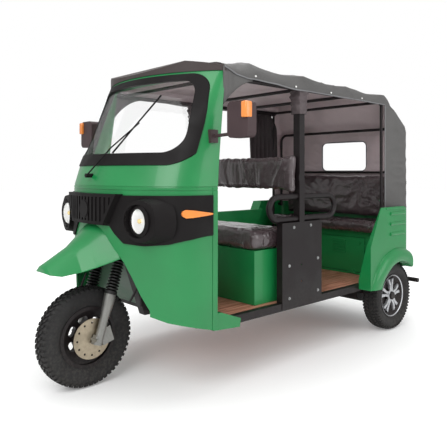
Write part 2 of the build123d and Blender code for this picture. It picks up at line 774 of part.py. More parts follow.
with BuildPart() as grille_face:
    add(front_prism(grille_edge(0), -60, 200))
    add(grille_form(band_skin), mode=Mode.INTERSECT)
    with BuildSketch(Plane.XZ.offset(-y(60))):
        with Locations((0, (grille_top + grille_foot) / 2)):
            Circle(badge_radius)
    extrude(amount=60 - cab_nose_station + grille_step + band_skin + 3)
    add(grille_slots.part, mode=Mode.SUBTRACT)
    add(cab_outer, mode=Mode.SUBTRACT)

with BuildPart() as grille_panel:
    add(front_prism(band_edge, -60, door_station - flange_width))
    add(cab_form(band_skin), mode=Mode.INTERSECT)
    add(cab_outer, mode=Mode.SUBTRACT)
    add(grille_face.part)
    add(lamp_pods.part - cab_outer)
    add(lamp_bores.part, mode=Mode.SUBTRACT)
    add(front_mudguard.part, mode=Mode.SUBTRACT)
grille_panel.part.label = "grille_panel"
export_step(grille_panel.part, "parts/grille_panel.step")

with BuildPart() as headlamps:
    with BuildSketch(Plane.XZ.offset(-y(lamp_station))):
        with Locations(*lamp_spots):
            Circle(lamp_radius)
    extrude(amount=-150)
    add(cab_outer, mode=Mode.SUBTRACT)
headlamps.part.label = "headlamps"
export_step(headlamps.part, "parts/headlamps.step")

with BuildPart() as turn_lamps:
    with BuildSketch(Plane.YZ.offset(-650)):
        with BuildLine():
            Polyline((y(248), 970), (y(253), 983), (y(268), 990), (y(300), 987), (y(416), 969), (y(416), 961),
                     (y(300), 948), (y(268), 946), (y(253), 955), close=True)
        make_face()
    extrude(amount=1300)
    add(cab_form(band_skin + 8), mode=Mode.INTERSECT)
    add(cab_form(band_skin), mode=Mode.SUBTRACT)
turn_lamps.part.label = "turn_lamps"
export_step(turn_lamps.part, "parts/turn_lamps.step")

# ================================================================ floor
with BuildPart() as floor_board:
    with BuildSketch(Plane.XY.offset(floor_bottom)):
        with Locations((0, (y(440) + y(rear_seat_station)) / 2)):
            Rectangle(2 * floor_half_width, rear_seat_station - 440)
    extrude(amount=floor_thickness)
    arch_cut_front = wheelbase - rear_tyre_radius - arch_gap
    with BuildSketch(Plane.XY.offset(floor_bottom)):
        with Locations(*[(x, y(arch_cut_front) + 300) for x in (-540, 540)]):
            Rectangle(130, 600)
    extrude(amount=floor_thickness, mode=Mode.SUBTRACT)
    add(cab_lower_shell.part, mode=Mode.SUBTRACT)
floor_board.part.label = "floor_board"
export_step(floor_board.part, "parts/floor_board.step")

# ================================================================ driver's seat
with BuildPart() as driver_seat_box:
    with BuildSketch(Plane.XY.offset(floor_top)):
        with Locations((0, (y(seat_box_front_station) + y(seat_box_rear_station)) / 2)):
            Rectangle(2 * seat_box_half_width, seat_box_rear_station - seat_box_front_station)
    extrude(amount=seat_box_top - floor_top)
    offset(amount=-seat_sheet, mode=Mode.SUBTRACT)
driver_seat_box.part.label = "driver_seat_box"
export_step(driver_seat_box.part, "parts/driver_seat_box.step")

with BuildPart() as driver_seat_cushion:
    with BuildSketch(Plane.YZ):
        with BuildLine():
            Polyline((y(driver_cushion_front), seat_box_top), (y(driver_cushion_rear), seat_box_top),
                     (y(driver_cushion_rear), seat_box_top + driver_cushion_height + 25),
                     (y(driver_cushion_front), seat_box_top + driver_cushion_height - 13), close=True)
        make_face()
    extrude(amount=seat_box_half_width + driver_cushion_overhang, both=True)
    fillet(driver_seat_cushion.edges().filter_by(Axis.X).group_by(Axis.Z)[-1], 30)
driver_seat_cushion.part.label = "driver_seat_cushion"
export_step(driver_seat_cushion.part, "parts/driver_seat_cushion.step")

with BuildPart() as driver_backrest:
    with BuildSketch(Plane.XY.offset(driver_back_bottom)):
        with Locations((0, y(driver_back_station) - driver_back_thickness / 2)):
            Rectangle(2 * driver_back_half_width, driver_back_thickness)
    extrude(amount=driver_back_top - driver_back_bottom)
    fillet(driver_backrest.edges().filter_by(Axis.X), 30)
driver_backrest.part.label = "driver_backrest"
export_step(driver_backrest.part, "parts/driver_backrest.step")

# ================================================================ rear body
def tub_plan(growth, front):
    """Plan of the rear body: two sides, two corners and the bulged rear wall."""
    half_width = tub_half_width + growth
    radius = tub_rear_radius + growth
    corner = tub_corner_radius + growth
    corner_x = half_width - corner
    centre = y(tub_rear_station) - tub_rear_radius
    reach = radius - corner
    corner_y = centre + sqrt(reach**2 - corner_x**2)
    touch_x = corner_x * radius / reach
    touch_y = centre + (corner_y - centre) * radius / reach
    Line((half_width, y(front)), (half_width, corner_y))
    TangentArc((half_width, corner_y), (touch_x, touch_y), tangent=(0, 1))
    ThreePointArc((touch_x, touch_y), (0, centre + radius), (-touch_x, touch_y))
    TangentArc((-half_width, corner_y), (-touch_x, touch_y), tangent=(0, 1))
    Line((-half_width, corner_y), (-half_width, y(front)))
    Line((-half_width, y(front)), (half_width, y(front)))


def tub_form(growth, low, high, front=1800.0):
    """Solid form of the rear body between two heights."""
    with BuildPart() as form:
        with BuildSketch(Plane.XY.offset(low)):
            with BuildLine():
                tub_plan(growth, front)
            make_face()
        extrude(amount=high - low)
    return form.part


knee_to_top = (tub_top - quarter_knee) * quarter_lean
quarter_front = ((quarter_foot_station, tub_bottom), (quarter_foot_station, quarter_knee),
                 (quarter_foot_station + knee_to_top, tub_top))
tub_side_view = side_prism([*quarter_front, (2600, tub_top), (2600, tub_bottom)], form_half_width)
lip_radius = rear_tyre_radius + lip_gap
with BuildPart() as wheel_hole:
    with BuildSketch(Plane.YZ):
        with Locations((y(wheelbase), rear_tyre_radius)):
            Circle(lip_radius)
    extrude(amount=form_half_width, both=True)


def arch_ring(side):
    """Bulged ring round a rear wheel's opening, outside the panel."""
    plane = wheel_plane(side * (tub_half_width - tub_wall), wheelbase, rear_tyre_radius)
    out = arch_bulge + tub_wall
    with BuildPart() as ring:
        with BuildSketch(plane):
            with BuildLine():
                Polyline((side * out, lip_radius), (side * (out - 5), lip_radius),
                         (side * (out - 5), lip_radius + 12),
                         (0, lip_radius + arch_rise - 6), (0, lip_radius + arch_rise),
                         (side * tub_wall, lip_radius + arch_rise), (side * out, lip_radius + 14), close=True)
            make_face()
        revolve(axis=Axis(plane.origin, plane.x_dir))
        with BuildSketch(Plane.YZ):
            with Locations(((y(quarter_foot_station) + y(rear_corner_station)) / 2,
                            (tub_bottom + tub_top) / 2)):
                Rectangle(rear_corner_station - quarter_foot_station, tub_top - tub_bottom)
        extrude(amount=form_half_width, both=True, mode=Mode.INTERSECT)
    return ring.part


# what is cut from the front return of each quarter: x, height
return_edges = {
    "left": ((0.0, tub_bottom - 5), (sill_half_width, tub_bottom - 5), (sill_half_width, 420.0),
             (605.0, quarter_knee), (tub_half_width - tub_wall, tub_top), (0.0, tub_top + 5)),
    "right": ((0.0, tub_bottom - 5), (sill_half_width, tub_bottom - 5), (sill_half_width, tub_top + 5),
              (0.0, tub_top + 5)),
}

for side, name in ((1, "left"), (-1, "right")):
    with BuildPart() as quarter_panel:
        add(tub_form(0, tub_bottom, tub_top))
        for height in louvre_heights:
            with Locations(Plane(origin=(side * (tub_half_width - louvre_radius + 10), y(louvre_front), height),
                                 z_dir=(0, 1, 0))):
                Cylinder(louvre_radius, louvre_rear - louvre_front,
                         align=(Align.CENTER, Align.CENTER, Align.MIN))
        with Locations(Plane(origin=(side * (tub_half_width - 3), y(louvre_front - 60), tub_top - 12),
                             z_dir=(0, 1, 0))):
            Cylinder(8, louvre_rear - louvre_front + 70, align=(Align.CENTER, Align.CENTER, Align.MIN))
        add(tub_form(-tub_wall, tub_bottom, tub_top, 1700), mode=Mode.SUBTRACT)
        add(tub_side_view, mode=Mode.INTERSECT)
        with BuildSketch(Plane.XY.offset(tub_bottom)):
            with Locations((side * 600, y(2100))):
                Rectangle(220, 700)
        extrude(amount=tub_top, mode=Mode.INTERSECT)
        with BuildPart(mode=Mode.PRIVATE) as front_return:
            with BuildSketch(Plane.YZ.offset(min(side * sill_half_width, side * tub_half_width))):
                with BuildLine():
                    Polyline(*[(y(s), z) for s, z in quarter_front],
                             *[(y(s + tub_wall), z) for s, z in reversed(quarter_front)], close=True)
                make_face()
            extrude(amount=tub_half_width - sill_half_width)
            add(front_prism([(side * x, z) for x, z in return_edges[name]], quarter_foot_station - 10,
                            quarter_foot_station + knee_to_top + 20), mode=Mode.SUBTRACT)
        add(front_return.part)
        add(arch_ring(side))
        add(wheel_hole.part, mode=Mode.SUBTRACT)
    quarter_panel.part.label = f"quarter_panel_{name}"
    export_step(quarter_panel.part, f"parts/quarter_panel_{name}.step")

with BuildPart() as rear_panel:
    add(tub_form(0, rail_top, tub_top))
    add(tub_form(-tub_wall, rail_top, tub_top, 1700), mode=Mode.SUBTRACT)
    with BuildSketch(Plane.XY.offset(tub_bottom)):
        with Locations((0, y(2450))):
            Rectangle(980, 260)
    extrude(amount=tub_top, mode=Mode.INTERSECT)
rear_panel.part.label = "rear_panel"
export_step(rear_panel.part, "parts/rear_panel.step")

wheelhouse_inner = 480.0
wheelhouse_sheet = 4.0
arch_radius = rear_tyre_radius + arch_gap
with BuildPart() as rear_floor_pan:
    for side in (-1, 1):
        start = min(side * wheelhouse_inner, side * (tub_half_width - tub_wall))
        with BuildSketch(Plane.YZ.offset(start)):
            with Locations((y(wheelbase), rear_tyre_radius)):
                Circle(arch_radius + wheelhouse_sheet)
        extrude(amount=tub_half_width - tub_wall - wheelhouse_inner)
    split(bisect_by=Plane.XY.offset(floor_bottom), keep=Keep.TOP)
    with BuildSketch(Plane.XY.offset(floor_bottom)):
        with Locations((0, (y(rear_seat_station) + y(2500)) / 2)):
            Rectangle(2 * (wheelhouse_inner + wheelhouse_sheet), 2500 - rear_seat_station)
    extrude(amount=floor_thickness)
    for side in (-1, 1):
        hollow = min(side * (wheelhouse_inner + wheelhouse_sheet), side * (tub_half_width - tub_wall))
        with BuildSketch(Plane.YZ.offset(hollow)):
            with Locations((y(wheelbase), rear_tyre_radius)):
                Circle(arch_radius)
        extrude(amount=tub_half_width - tub_wall - wheelhouse_inner - wheelhouse_sheet, mode=Mode.SUBTRACT)
    add(tub_form(-tub_wall, floor_bottom, tub_top, 1700), mode=Mode.INTERSECT)
rear_floor_pan.part.label = "rear_floor_pan"
export_step(rear_floor_pan.part, "parts/rear_floor_pan.step")

# ================================================================ rear bench
base_rear = rear_back_station + rear_back_thickness
back_sheet_top = 1100.0
hinge_radius = 6.0
hinge_pin = 3.0
hinge_station = rear_seat_station - hinge_radius - 1
hinge_height = battery_door_bottom - 6
hinge_spots = (-280.0, 280.0)
knuckle = 24.0
with BuildPart() as rear_seat_base:
    with BuildSketch(Plane.XY.offset(floor_top)):
        with Locations((0, (y(rear_seat_station) + y(base_rear)) / 2)):
            Rectangle(2 * rear_seat_half_width, base_rear - rear_seat_station)
    extrude(amount=rear_seat_top - floor_top)
    with BuildSketch(Plane.XY.offset(floor_top)):
        with Locations((0, (y(rear_seat_station) + y(base_rear)) / 2 + seat_sheet)):
            Rectangle(2 * (rear_seat_half_width - seat_sheet), base_rear - rear_seat_station)
    extrude(amount=rear_seat_top - floor_top - seat_sheet, mode=Mode.SUBTRACT)
    with BuildSketch(Plane.XZ.offset(-y(rear_seat_station) + 1)):
        with Locations((0, (battery_door_bottom + battery_door_top) / 2)):
            Rectangle(2 * (battery_door_half_width + door_gap),
                      battery_door_top - battery_door_bottom + 2 * door_gap)
    extrude(amount=-seat_sheet - 2, mode=Mode.SUBTRACT)
    with BuildSketch(Plane.XZ.offset(-y(base_rear))):
        with Locations((0, (rear_seat_top - seat_sheet + back_sheet_top) / 2)):
            Rectangle(2 * rear_seat_half_width, back_sheet_top - rear_seat_top + seat_sheet)
    extrude(amount=-seat_sheet)
    for spot in hinge_spots:
        for end in (-1, 1):
            centre = spot + end * (knuckle + 1)
            with BuildSketch(Plane.YZ.offset(centre - knuckle / 2)):
                with Locations((y(hinge_station), hinge_height)):
                    Circle(hinge_radius)
                with Locations(((y(hinge_station) + y(rear_seat_station)) / 2, hinge_height - 3)):
                    Rectangle(rear_seat_station - hinge_station, 2 * hinge_radius - 6)
            extrude(amount=knuckle)
        with BuildSketch(Plane.YZ.offset(spot - knuckle)):
            with Locations((y(hinge_station), hinge_height)):
                Circle(hinge_pin)
        extrude(amount=2 * knuckle)
rear_seat_base.part.label = "rear_seat_base"
export_step(rear_seat_base.part, "parts/rear_seat_base.step")

with BuildPart() as battery_door:
    with BuildSketch(Plane.XZ.offset(-y(rear_seat_station))):
        with Locations((0, (battery_door_bottom + battery_door_top) / 2)):
            Rectangle(2 * battery_door_half_width, battery_door_top - battery_door_bottom)
    extrude(amount=-battery_door_thickness)
    for spot in hinge_spots:
        with BuildSketch(Plane.YZ.offset(spot - knuckle / 2)):
            with Locations((y(hinge_station), hinge_height)):
                Circle(hinge_radius)
            with BuildLine():
                Polyline((y(hinge_station) - hinge_radius, hinge_height),
                         (y(hinge_station) - hinge_radius, hinge_height + 16),
                         (y(rear_seat_station), hinge_height + 16),
                         (y(rear_seat_station), battery_door_bottom),
                         (y(hinge_station) + hinge_radius, hinge_height), close=True)
            make_face()
        extrude(amount=knuckle)
        with BuildSketch(Plane.YZ.offset(spot - knuckle)):
            with Locations((y(hinge_station), hinge_height)):
                Circle(hinge_pin + axle_clearance)
        extrude(amount=2 * knuckle, mode=Mode.SUBTRACT)
    with BuildSketch(Plane.XZ.offset(-y(rear_seat_station))):
        with Locations((340, 627)):
            Circle(13)
    extrude(amount=9)
    for row in range(vent_rows):
        with BuildSketch(Plane.XZ.offset(-y(rear_seat_station))):
            with Locations((vent_middle, vent_low + row * vent_pitch)):
                SlotOverall(vent_width, vent_pitch * 0.45)
        extrude(amount=6)
battery_door.part.label = "battery_door"
export_step(battery_door.part, "parts/battery_door.step")

with BuildPart() as battery_pack:
    with BuildSketch(Plane.XY.offset(floor_top)):
        with Locations((0, y(2262))):
            Rectangle(660, 130)
    extrude(amount=215)
battery_pack.part.label = "battery_pack"
export_step(battery_pack.part, "parts/battery_pack.step")

with BuildPart() as rear_seat_cushion:
    with BuildSketch(Plane.XY.offset(rear_seat_top)):
        with Locations((0, (y(rear_cushion_front) + y(rear_cushion_rear)) / 2)):
            Rectangle(2 * rear_cushion_half_width, rear_cushion_rear - rear_cushion_front)
    extrude(amount=rear_cushion_height)
    fillet(rear_seat_cushion.edges().filter_by(Axis.X).group_by(Axis.Z)[-1], 26)
rear_seat_cushion.part.label = "rear_seat_cushion"
export_step(rear_seat_cushion.part, "parts/rear_seat_cushion.step")

with BuildPart() as rear_backrest:
    with BuildSketch(Plane.XY.offset(rear_back_bottom)):
        with Locations((0, y(rear_back_station) + rear_back_thickness / 2)):
            Rectangle(2 * rear_cushion_half_width, rear_back_thickness)
    extrude(amount=rear_back_top - rear_back_bottom)
    fillet(rear_backrest.edges().filter_by(Axis.X), 28)
rear_backrest.part.label = "rear_backrest"
export_step(rear_backrest.part, "parts/rear_backrest.step")


# ================================================================ tube frame
def tube(start, end, radius):
    """Straight round tube between two points."""
    way = Vector(*end) - Vector(*start)
    with Locations(Plane(origin=start, z_dir=way)):
        Cylinder(radius, way.length, align=(Align.CENTER, Align.CENTER, Align.MIN))


rail_height = canopy_ceiling - rail_radius
back_bar_height = 1150.0
wheelhouse_top = rear_tyre_radius + sqrt(arch_radius**2 - (wheelbase - canopy_rear_post)**2)
rail_front = door_top_station - 12
rail_x = canopy_half_width - canopy_skin - rail_radius - 6
with BuildPart() as canopy_frame:
    for side in (-1, 1):
        with BuildSketch(Plane.XY.offset(b_panel_top)):
            with Locations((side * (b_post_half_width - post_size / 2), y(b_post_station))):
                Rectangle(post_size, post_size)
        extrude(amount=rail_height - b_panel_top)
        tube((side * rail_x, y(rail_front), rail_height),
             (side * rail_x, y(canopy_rear_post), rail_height), rail_radius)
        tube((side * rear_post_half_width, y(canopy_rear_post - 20), wheelhouse_top),
             (side * rear_post_half_width, y(canopy_rear_post - 20), rail_height - rail_radius), bow_radius)
        post_head = rail_height - rail_radius
        tube((side * (rear_post_half_width + bow_radius), y(canopy_rear_post - 20), post_head),
             (side * (rail_x - bow_radius), y(canopy_rear_post - 20), post_head), bow_radius - 1)
        tube((side * (rear_bow_half_width - 4), y(rear_bow_station), tub_top - 40),
             (side * (tub_half_width - tub_wall), y(rear_bow_station), tub_top - 40), bow_radius - 2)
    for station in (570, b_post_station, middle_bow_station, canopy_rear_post - 20):
        tube((-rail_x, y(station), rail_height), (rail_x, y(station), rail_height), bow_radius)
    with BuildLine(Plane.XZ.offset(-y(rear_bow_station))):
        bow = FilletPolyline((-rear_bow_half_width, tub_top - 54), (-rear_bow_half_width, rear_bow_height),
                             (rear_bow_half_width, rear_bow_height), (rear_bow_half_width, tub_top - 54),
                             radius=60)
    with BuildSketch(Plane(origin=bow @ 0, z_dir=bow % 0)):
        Circle(bow_radius)
    sweep(path=bow)
    with BuildSketch(Plane.XZ.offset(-y(driver_back_station))):
        with Locations((0, back_bar_height)):
            Rectangle(2 * b_post_half_width, 40)
    extrude(amount=-(b_post_station - post_size / 2 - driver_back_station))
    add(cab_upper_shell.part, mode=Mode.SUBTRACT)
    add(rear_floor_pan.part, mode=Mode.SUBTRACT)
canopy_frame.part.label = "canopy_frame"
export_step(canopy_frame.part, "parts/canopy_frame.step")

panel_depth = 46.0
panel_half_width = sill_half_width + b_panel_sheet
panel_length = b_panel_rear - b_panel_front
panel_middle = y((b_panel_front + b_panel_rear) / 2)
with BuildPart() as b_pillar_panels:
    for side in (-1, 1):
        with BuildSketch(Plane.XY.offset(floor_top)):
            with Locations((side * (panel_half_width - panel_depth / 2), panel_middle)):
                Rectangle(panel_depth, panel_length)
        extrude(amount=b_panel_top - floor_top)
        with BuildSketch(Plane.XY.offset(floor_top)):
            with Locations((side * (panel_half_width - b_panel_sheet - panel_depth / 2), panel_middle)):
                Rectangle(panel_depth, panel_length - 2 * b_panel_sheet)
        extrude(amount=b_panel_top - floor_top - b_panel_sheet, mode=Mode.SUBTRACT)
        with BuildSketch(Plane.XY.offset(b_panel_bottom)):
            with Locations((side * (panel_half_width - b_panel_sheet / 2), panel_middle)):
                Rectangle(b_panel_sheet, panel_length)
        extrude(amount=floor_top - b_panel_bottom)
        with BuildSketch(Plane.YZ.offset(side * panel_half_width - 20)):
            with Locations(*[(y(b_panel_hole_station), b_panel_hole_low + i * b_panel_hole_spacing)
                             for i in range(2)]):
                Circle(b_panel_hole_radius)
        extrude(amount=40, mode=Mode.SUBTRACT)
b_pillar_panels.part.label = "b_pillar_panels"
export_step(b_pillar_panels.part, "parts/b_pillar_panels.step")

hoop_x = 520.0
hoop_radius = 19.0
hoop_bend = 75.0
hoop_low, hoop_high = b_panel_top + hoop_radius, 1030.0
hoop_front, hoop_rear = 945.0, 1602.0
with BuildPart() as grab_hoops:
    with BuildLine(Plane.YZ.offset(hoop_x)):
        loop = FilletPolyline((y(b_post_station), hoop_low), (y(hoop_rear), hoop_low),
                              (y(hoop_rear), hoop_high),
                              (y(hoop_front), hoop_high), (y(hoop_front), hoop_low),
                              (y(b_post_station - post_size), hoop_low), radius=hoop_bend)
    with BuildSketch(Plane(origin=loop @ 0, z_dir=loop % 0)):
        Circle(hoop_radius)
    sweep(path=loop)
    tube((hoop_x, y(b_post_station - post_size - 5), hoop_low),
         (hoop_x, y(b_post_station + 5), hoop_low), hoop_radius)
    add(canopy_frame.part, mode=Mode.SUBTRACT)
grab_hoops.part.label = "grab_hoops"
export_step(grab_hoops.part, "parts/grab_hoops.step")

with BuildPart() as right_side_panel:
    with BuildSketch(Plane.YZ.offset(-sill_half_width)):
        with BuildLine():
            panel_rear = quarter_foot_station + tub_wall
            Polyline((y(b_panel_rear), floor_top), (y(panel_rear), floor_top), (y(panel_rear), quarter_knee),
                     (y(panel_rear + (side_panel_top - quarter_knee) * quarter_lean), side_panel_top),
                     (y(b_panel_rear), side_panel_top), close=True)
        make_face()
    extrude(amount=40)
right_side_panel.part.label = "right_side_panel"
export_step(right_side_panel.part, "parts/right_side_panel.step")

# ================================================================ canopy
hem_at_rear = canopy_sections[-1]
roof_slope = ((canopy_rear_post, tub_top), (2600.0, tub_top), (2600.0, 1440.0), (2470.0, 1520.0),
              (2375.0, 1610.0), (canopy_rear_post, 1812.0))
inner_slope = ((1900.0, tub_top - 1), (2600.0, tub_top - 1), (2600.0, 1430.0), (2460.0, 1512.0),
               (2365.0, 1600.0), (canopy_rear_post, canopy_ceiling), (1900.0, canopy_ceiling))


def rear_canopy(inset, slope, front):
    """Rear end of the canopy: flared sides, bulged rear wall, sloped top."""
    station, hem_x, hem, shoulder_x, shoulder, crown = hem_at_rear
    corner = rear_corner_half_width - inset
    with BuildPart() as form:
        with BuildSketch(Plane.XZ.offset(-y(front))):
            with BuildLine():
                Polyline((shoulder_x - inset, shoulder), (hem_x - inset, hem), (corner, rear_corner_height),
                         (corner, tub_top - 1), (-corner, tub_top - 1), (-corner, rear_corner_height),
                         (-hem_x + inset, hem), (-shoulder_x + inset, shoulder))
                ThreePointArc((-shoulder_x + inset, shoulder), (0, crown), (shoulder_x - inset, shoulder))
            make_face()
        extrude(amount=-(2600 - front))
        with BuildSketch(Plane.XY.offset(tub_top - 1)):
            with BuildLine():
                plan = [(hem_x - inset, canopy_rear_post), (corner, rear_corner_station), (corner, 2600)]
                if front < canopy_rear_post:
                    plan.insert(0, (hem_x - inset, front))
                Polyline(*[(x, y(s)) for x, s in plan], *[(-x, y(s)) for x, s in reversed(plan)], close=True)
            make_face()
        extrude(amount=crown, mode=Mode.INTERSECT)
        add(tub_form(rear_corner_half_width - tub_half_width - inset, tub_top - 1, crown + 10, front - 10),
            mode=Mode.INTERSECT)
        add(side_prism(slope, form_half_width), mode=Mode.INTERSECT)
    return form.part


with BuildPart() as canopy:
    for station, hem_x, hem, shoulder_x, shoulder, crown in canopy_sections:
        with BuildSketch(Plane.XZ.offset(-y(station))):
            with BuildLine():
                Polyline((shoulder_x, shoulder), (hem_x, hem), (-hem_x, hem), (-shoulder_x, shoulder))
                ThreePointArc((-shoulder_x, shoulder), (0, crown), (shoulder_x, shoulder))
            make_face()
    loft(ruled=True)
    with BuildPart(mode=Mode.PRIVATE) as pocket:
        for station, hem_x, hem, shoulder_x, shoulder, crown in canopy_sections:
            ceiling = max(canopy_ceiling, hem + 10)
            with BuildSketch(Plane.XZ.offset(-y(station))):
                with Locations((0, (ceiling + hem - 60) / 2)):
                    Rectangle(2 * (hem_x - canopy_skin), ceiling - hem + 60)
        loft(ruled=True)
    add(rear_canopy(0, roof_slope, canopy_rear_post))
    add(pocket.part, mode=Mode.SUBTRACT)
    add(rear_canopy(canopy_skin, inner_slope, 1950), mode=Mode.SUBTRACT)
    with BuildSketch(Plane.XZ.offset(-y(2420))):
        with Locations((0, 1317)):
            RectangleRounded(452, 250, 45)
    extrude(amount=-150, mode=Mode.SUBTRACT)
canopy.part.label = "canopy"
export_step(canopy.part, "parts/canopy.step")

canopy_front = roof_form(6)
with canopy_front:
    add(cab_roof.part, mode=Mode.SUBTRACT)
    add(cab_upper_shell.part, mode=Mode.SUBTRACT)
    add(windscreen_frame.part, mode=Mode.SUBTRACT)
canopy_front.part.label = "canopy_front"
export_step(canopy_front.part, "parts/canopy_front.step")

# ================================================================ running gear
with BuildPart() as rear_axle:
    drum_out = rear_track / 2 - rear_tyre_width / 2 - drum_gap
    drum_in = drum_out - drum_width
    with BuildSketch(Plane.YZ.offset(-drum_out)):
        with Locations((y(wheelbase), rear_tyre_radius)):
            Circle(axle_tube_radius)
    extrude(amount=2 * drum_out)
    for side in (-1, 1):
        with BuildSketch(Plane.YZ.offset(min(side * drum_in, side * drum_out))):
            with Locations((y(wheelbase), rear_tyre_radius)):
                Circle(drum_radius)
        extrude(amount=drum_out - drum_in)
        with BuildSketch(Plane.YZ.offset(min(side * drum_out, side * (rear_track / 2 + 50)))):
            with Locations((y(wheelbase), rear_tyre_radius)):
                Circle(spindle_radius)
        extrude(amount=rear_track / 2 + 50 - drum_out)
    with BuildSketch(Plane.YZ.offset(-20)):
        with Locations((y(wheelbase), rear_tyre_radius)):
            Circle(75)
    extrude(amount=130)
    with BuildSketch(Plane.YZ.offset(110)):
        with Locations((y(wheelbase), rear_tyre_radius)):
            Circle(motor_radius)
    extrude(amount=motor_length)
rear_axle.part.label = "rear_axle"
export_step(rear_axle.part, "parts/rear_axle.step")

with BuildPart() as leaf_springs:
    spring_foot = rear_tyre_radius + axle_tube_radius
    for side in (-1, 1):
        for leaf in range(spring_leaves):
            reach = 0.52 + 0.16 * leaf
            radius = spring_arc - leaf * spring_leaf
            with BuildSketch(Plane.YZ.offset(side * rail_spacing / 2 - spring_width / 2)):
                with Locations((y(wheelbase), spring_foot + spring_arc)):
                    Circle(radius)
                    Circle(radius - spring_leaf, mode=Mode.SUBTRACT)
                front = wheelbase - (wheelbase - spring_front_station) * reach
                rear = wheelbase + (spring_rear_station - wheelbase) * reach
                with Locations(((y(front) + y(rear)) / 2, spring_foot + 30)):
                    Rectangle(rear - front, 100, mode=Mode.INTERSECT)
            extrude(amount=spring_width)
        for station in (spring_front_station, spring_rear_station - 60):
            with BuildSketch(Plane.YZ.offset(side * rail_spacing / 2 - spring_width / 2)):
                with Locations((y(station), rail_top - rail_depth - 14)):
                    Rectangle(36, 28)
            extrude(amount=spring_width)
leaf_springs.part.label = "leaf_springs"
export_step(leaf_springs.part, "parts/leaf_springs.step")

with BuildPart() as rear_bumper:
    tube((-bumper_half_width, y(bumper_station), bumper_height),
         (bumper_half_width, y(bumper_station), bumper_height), bumper_radius)
    with BuildSketch(Plane.XY.offset(rail_top - rail_depth)):
        with Locations(*[(side * rail_spacing / 2, (y(rail_rear_station) + y(bumper_station)) / 2)
                         for side in (-1, 1)]):
            Rectangle(rail_width - 10, bumper_station - rail_rear_station)
    extrude(amount=rail_depth)
rear_bumper.part.label = "rear_bumper"
export_step(rear_bumper.part, "parts/rear_bumper.step")

with BuildPart() as tail_lamps:
    with BuildSketch(Plane.XZ.offset(-y(2350))):
        with Locations((-540, 800), (540, 800)):
            Rectangle(90, 130)
    extrude(amount=-200)
    add(tub_form(16, 700, tub_top), mode=Mode.INTERSECT)
    add(tub_form(0, 600, tub_top + 50), mode=Mode.SUBTRACT)
tail_lamps.part.label = "tail_lamps"
export_step(tail_lamps.part, "parts/tail_lamps.step")

# ================================================================ mirrors, wiper
with BuildPart() as mirrors:
    for side in (-1, 1):
        with BuildSketch(Plane.XZ.offset(-y(mirror_station + 35))):
            with Locations((side * mirror_half_width, mirror_height)):
                RectangleRounded(150, 186, 30)
        extrude(amount=62)
        tube((side * 560, y(445), mirror_height - 77),
             (side * (mirror_half_width - 20), y(mirror_station), mirror_height - 67), 9)
        with BuildSketch(Plane.YZ.offset(min(side * 560, side * 590))):
            with Locations((y(441), mirror_height - 77)):
                Rectangle(50, 70)
        extrude(amount=30)
    add(cab_outer, mode=Mode.SUBTRACT)
mirrors.part.label = "mirrors"
export_step(mirrors.part, "parts/mirrors.step")


def screen_point(x, height, proud):
    """Point on the windscreen's outer skin, moved out along -Y by proud."""
    share = (height - cab_shoulder) / (cab_top - cab_shoulder)
    low, high = cab_sections[-2], cab_sections[-1]
    radius = low[2] + (high[2] - low[2]) * share
    nose = low[4] + (high[4] - low[4]) * share
    return (x, y(nose + radius - sqrt(radius**2 - x**2)) - proud, height)


wiper_pivot = (-30.0, y(50), 1165.0)
blade_middle = screen_point(228.0, 1456.0, 8)
with BuildPart() as wiper:
    tube((wiper_pivot[0], y(90), 1165.0), (wiper_pivot[0], y(20), 1165.0), 12)
    tube((wiper_pivot[0], y(26), 1165.0), screen_point(100.0, 1320.0, 22), 4)
    tube(screen_point(100.0, 1320.0, 22), blade_middle, 4)
    tube(screen_point(110.0, 1290.0, 6), screen_point(300.0, 1610.0, 6), 5)
    add(cab_outer, mode=Mode.SUBTRACT)
wiper.part.label = "wiper"
export_step(wiper.part, "parts/wiper.step")
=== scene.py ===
"""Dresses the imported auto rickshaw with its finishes, soft goods and fine detail.

Everything is in metres, in the frame's own axes: +Z up, the front faces -Y and
the vehicle's left side is +X.  Stations along the vehicle are measured back
from the front axle, as in the part's source.
"""

from __future__ import annotations

import json
import logging
import math
from dataclasses import dataclass, field
from enum import Enum
from functools import partial
from typing import Callable, Sequence

import bmesh
import bpy
from mathutils import Matrix, Vector, noise

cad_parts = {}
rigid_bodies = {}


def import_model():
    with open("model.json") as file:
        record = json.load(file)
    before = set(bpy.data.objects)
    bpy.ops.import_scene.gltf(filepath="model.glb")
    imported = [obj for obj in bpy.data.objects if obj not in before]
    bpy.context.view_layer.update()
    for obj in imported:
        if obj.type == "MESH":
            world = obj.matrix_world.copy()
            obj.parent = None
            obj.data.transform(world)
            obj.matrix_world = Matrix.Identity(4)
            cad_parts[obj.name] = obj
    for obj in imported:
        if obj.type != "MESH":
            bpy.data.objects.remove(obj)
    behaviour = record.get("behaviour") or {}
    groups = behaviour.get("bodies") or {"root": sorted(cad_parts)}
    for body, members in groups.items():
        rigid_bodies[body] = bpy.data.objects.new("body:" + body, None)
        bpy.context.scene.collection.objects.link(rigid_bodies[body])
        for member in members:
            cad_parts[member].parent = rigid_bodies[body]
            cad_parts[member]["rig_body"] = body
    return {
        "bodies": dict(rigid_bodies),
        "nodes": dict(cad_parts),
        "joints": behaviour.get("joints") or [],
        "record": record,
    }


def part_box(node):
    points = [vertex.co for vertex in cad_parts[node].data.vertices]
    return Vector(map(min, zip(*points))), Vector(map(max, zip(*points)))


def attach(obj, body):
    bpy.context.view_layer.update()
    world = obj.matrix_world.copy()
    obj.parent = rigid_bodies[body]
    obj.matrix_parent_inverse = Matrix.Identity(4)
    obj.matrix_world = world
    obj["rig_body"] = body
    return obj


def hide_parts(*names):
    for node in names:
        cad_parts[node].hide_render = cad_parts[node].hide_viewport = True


LOG = logging.getLogger("rickshaw")

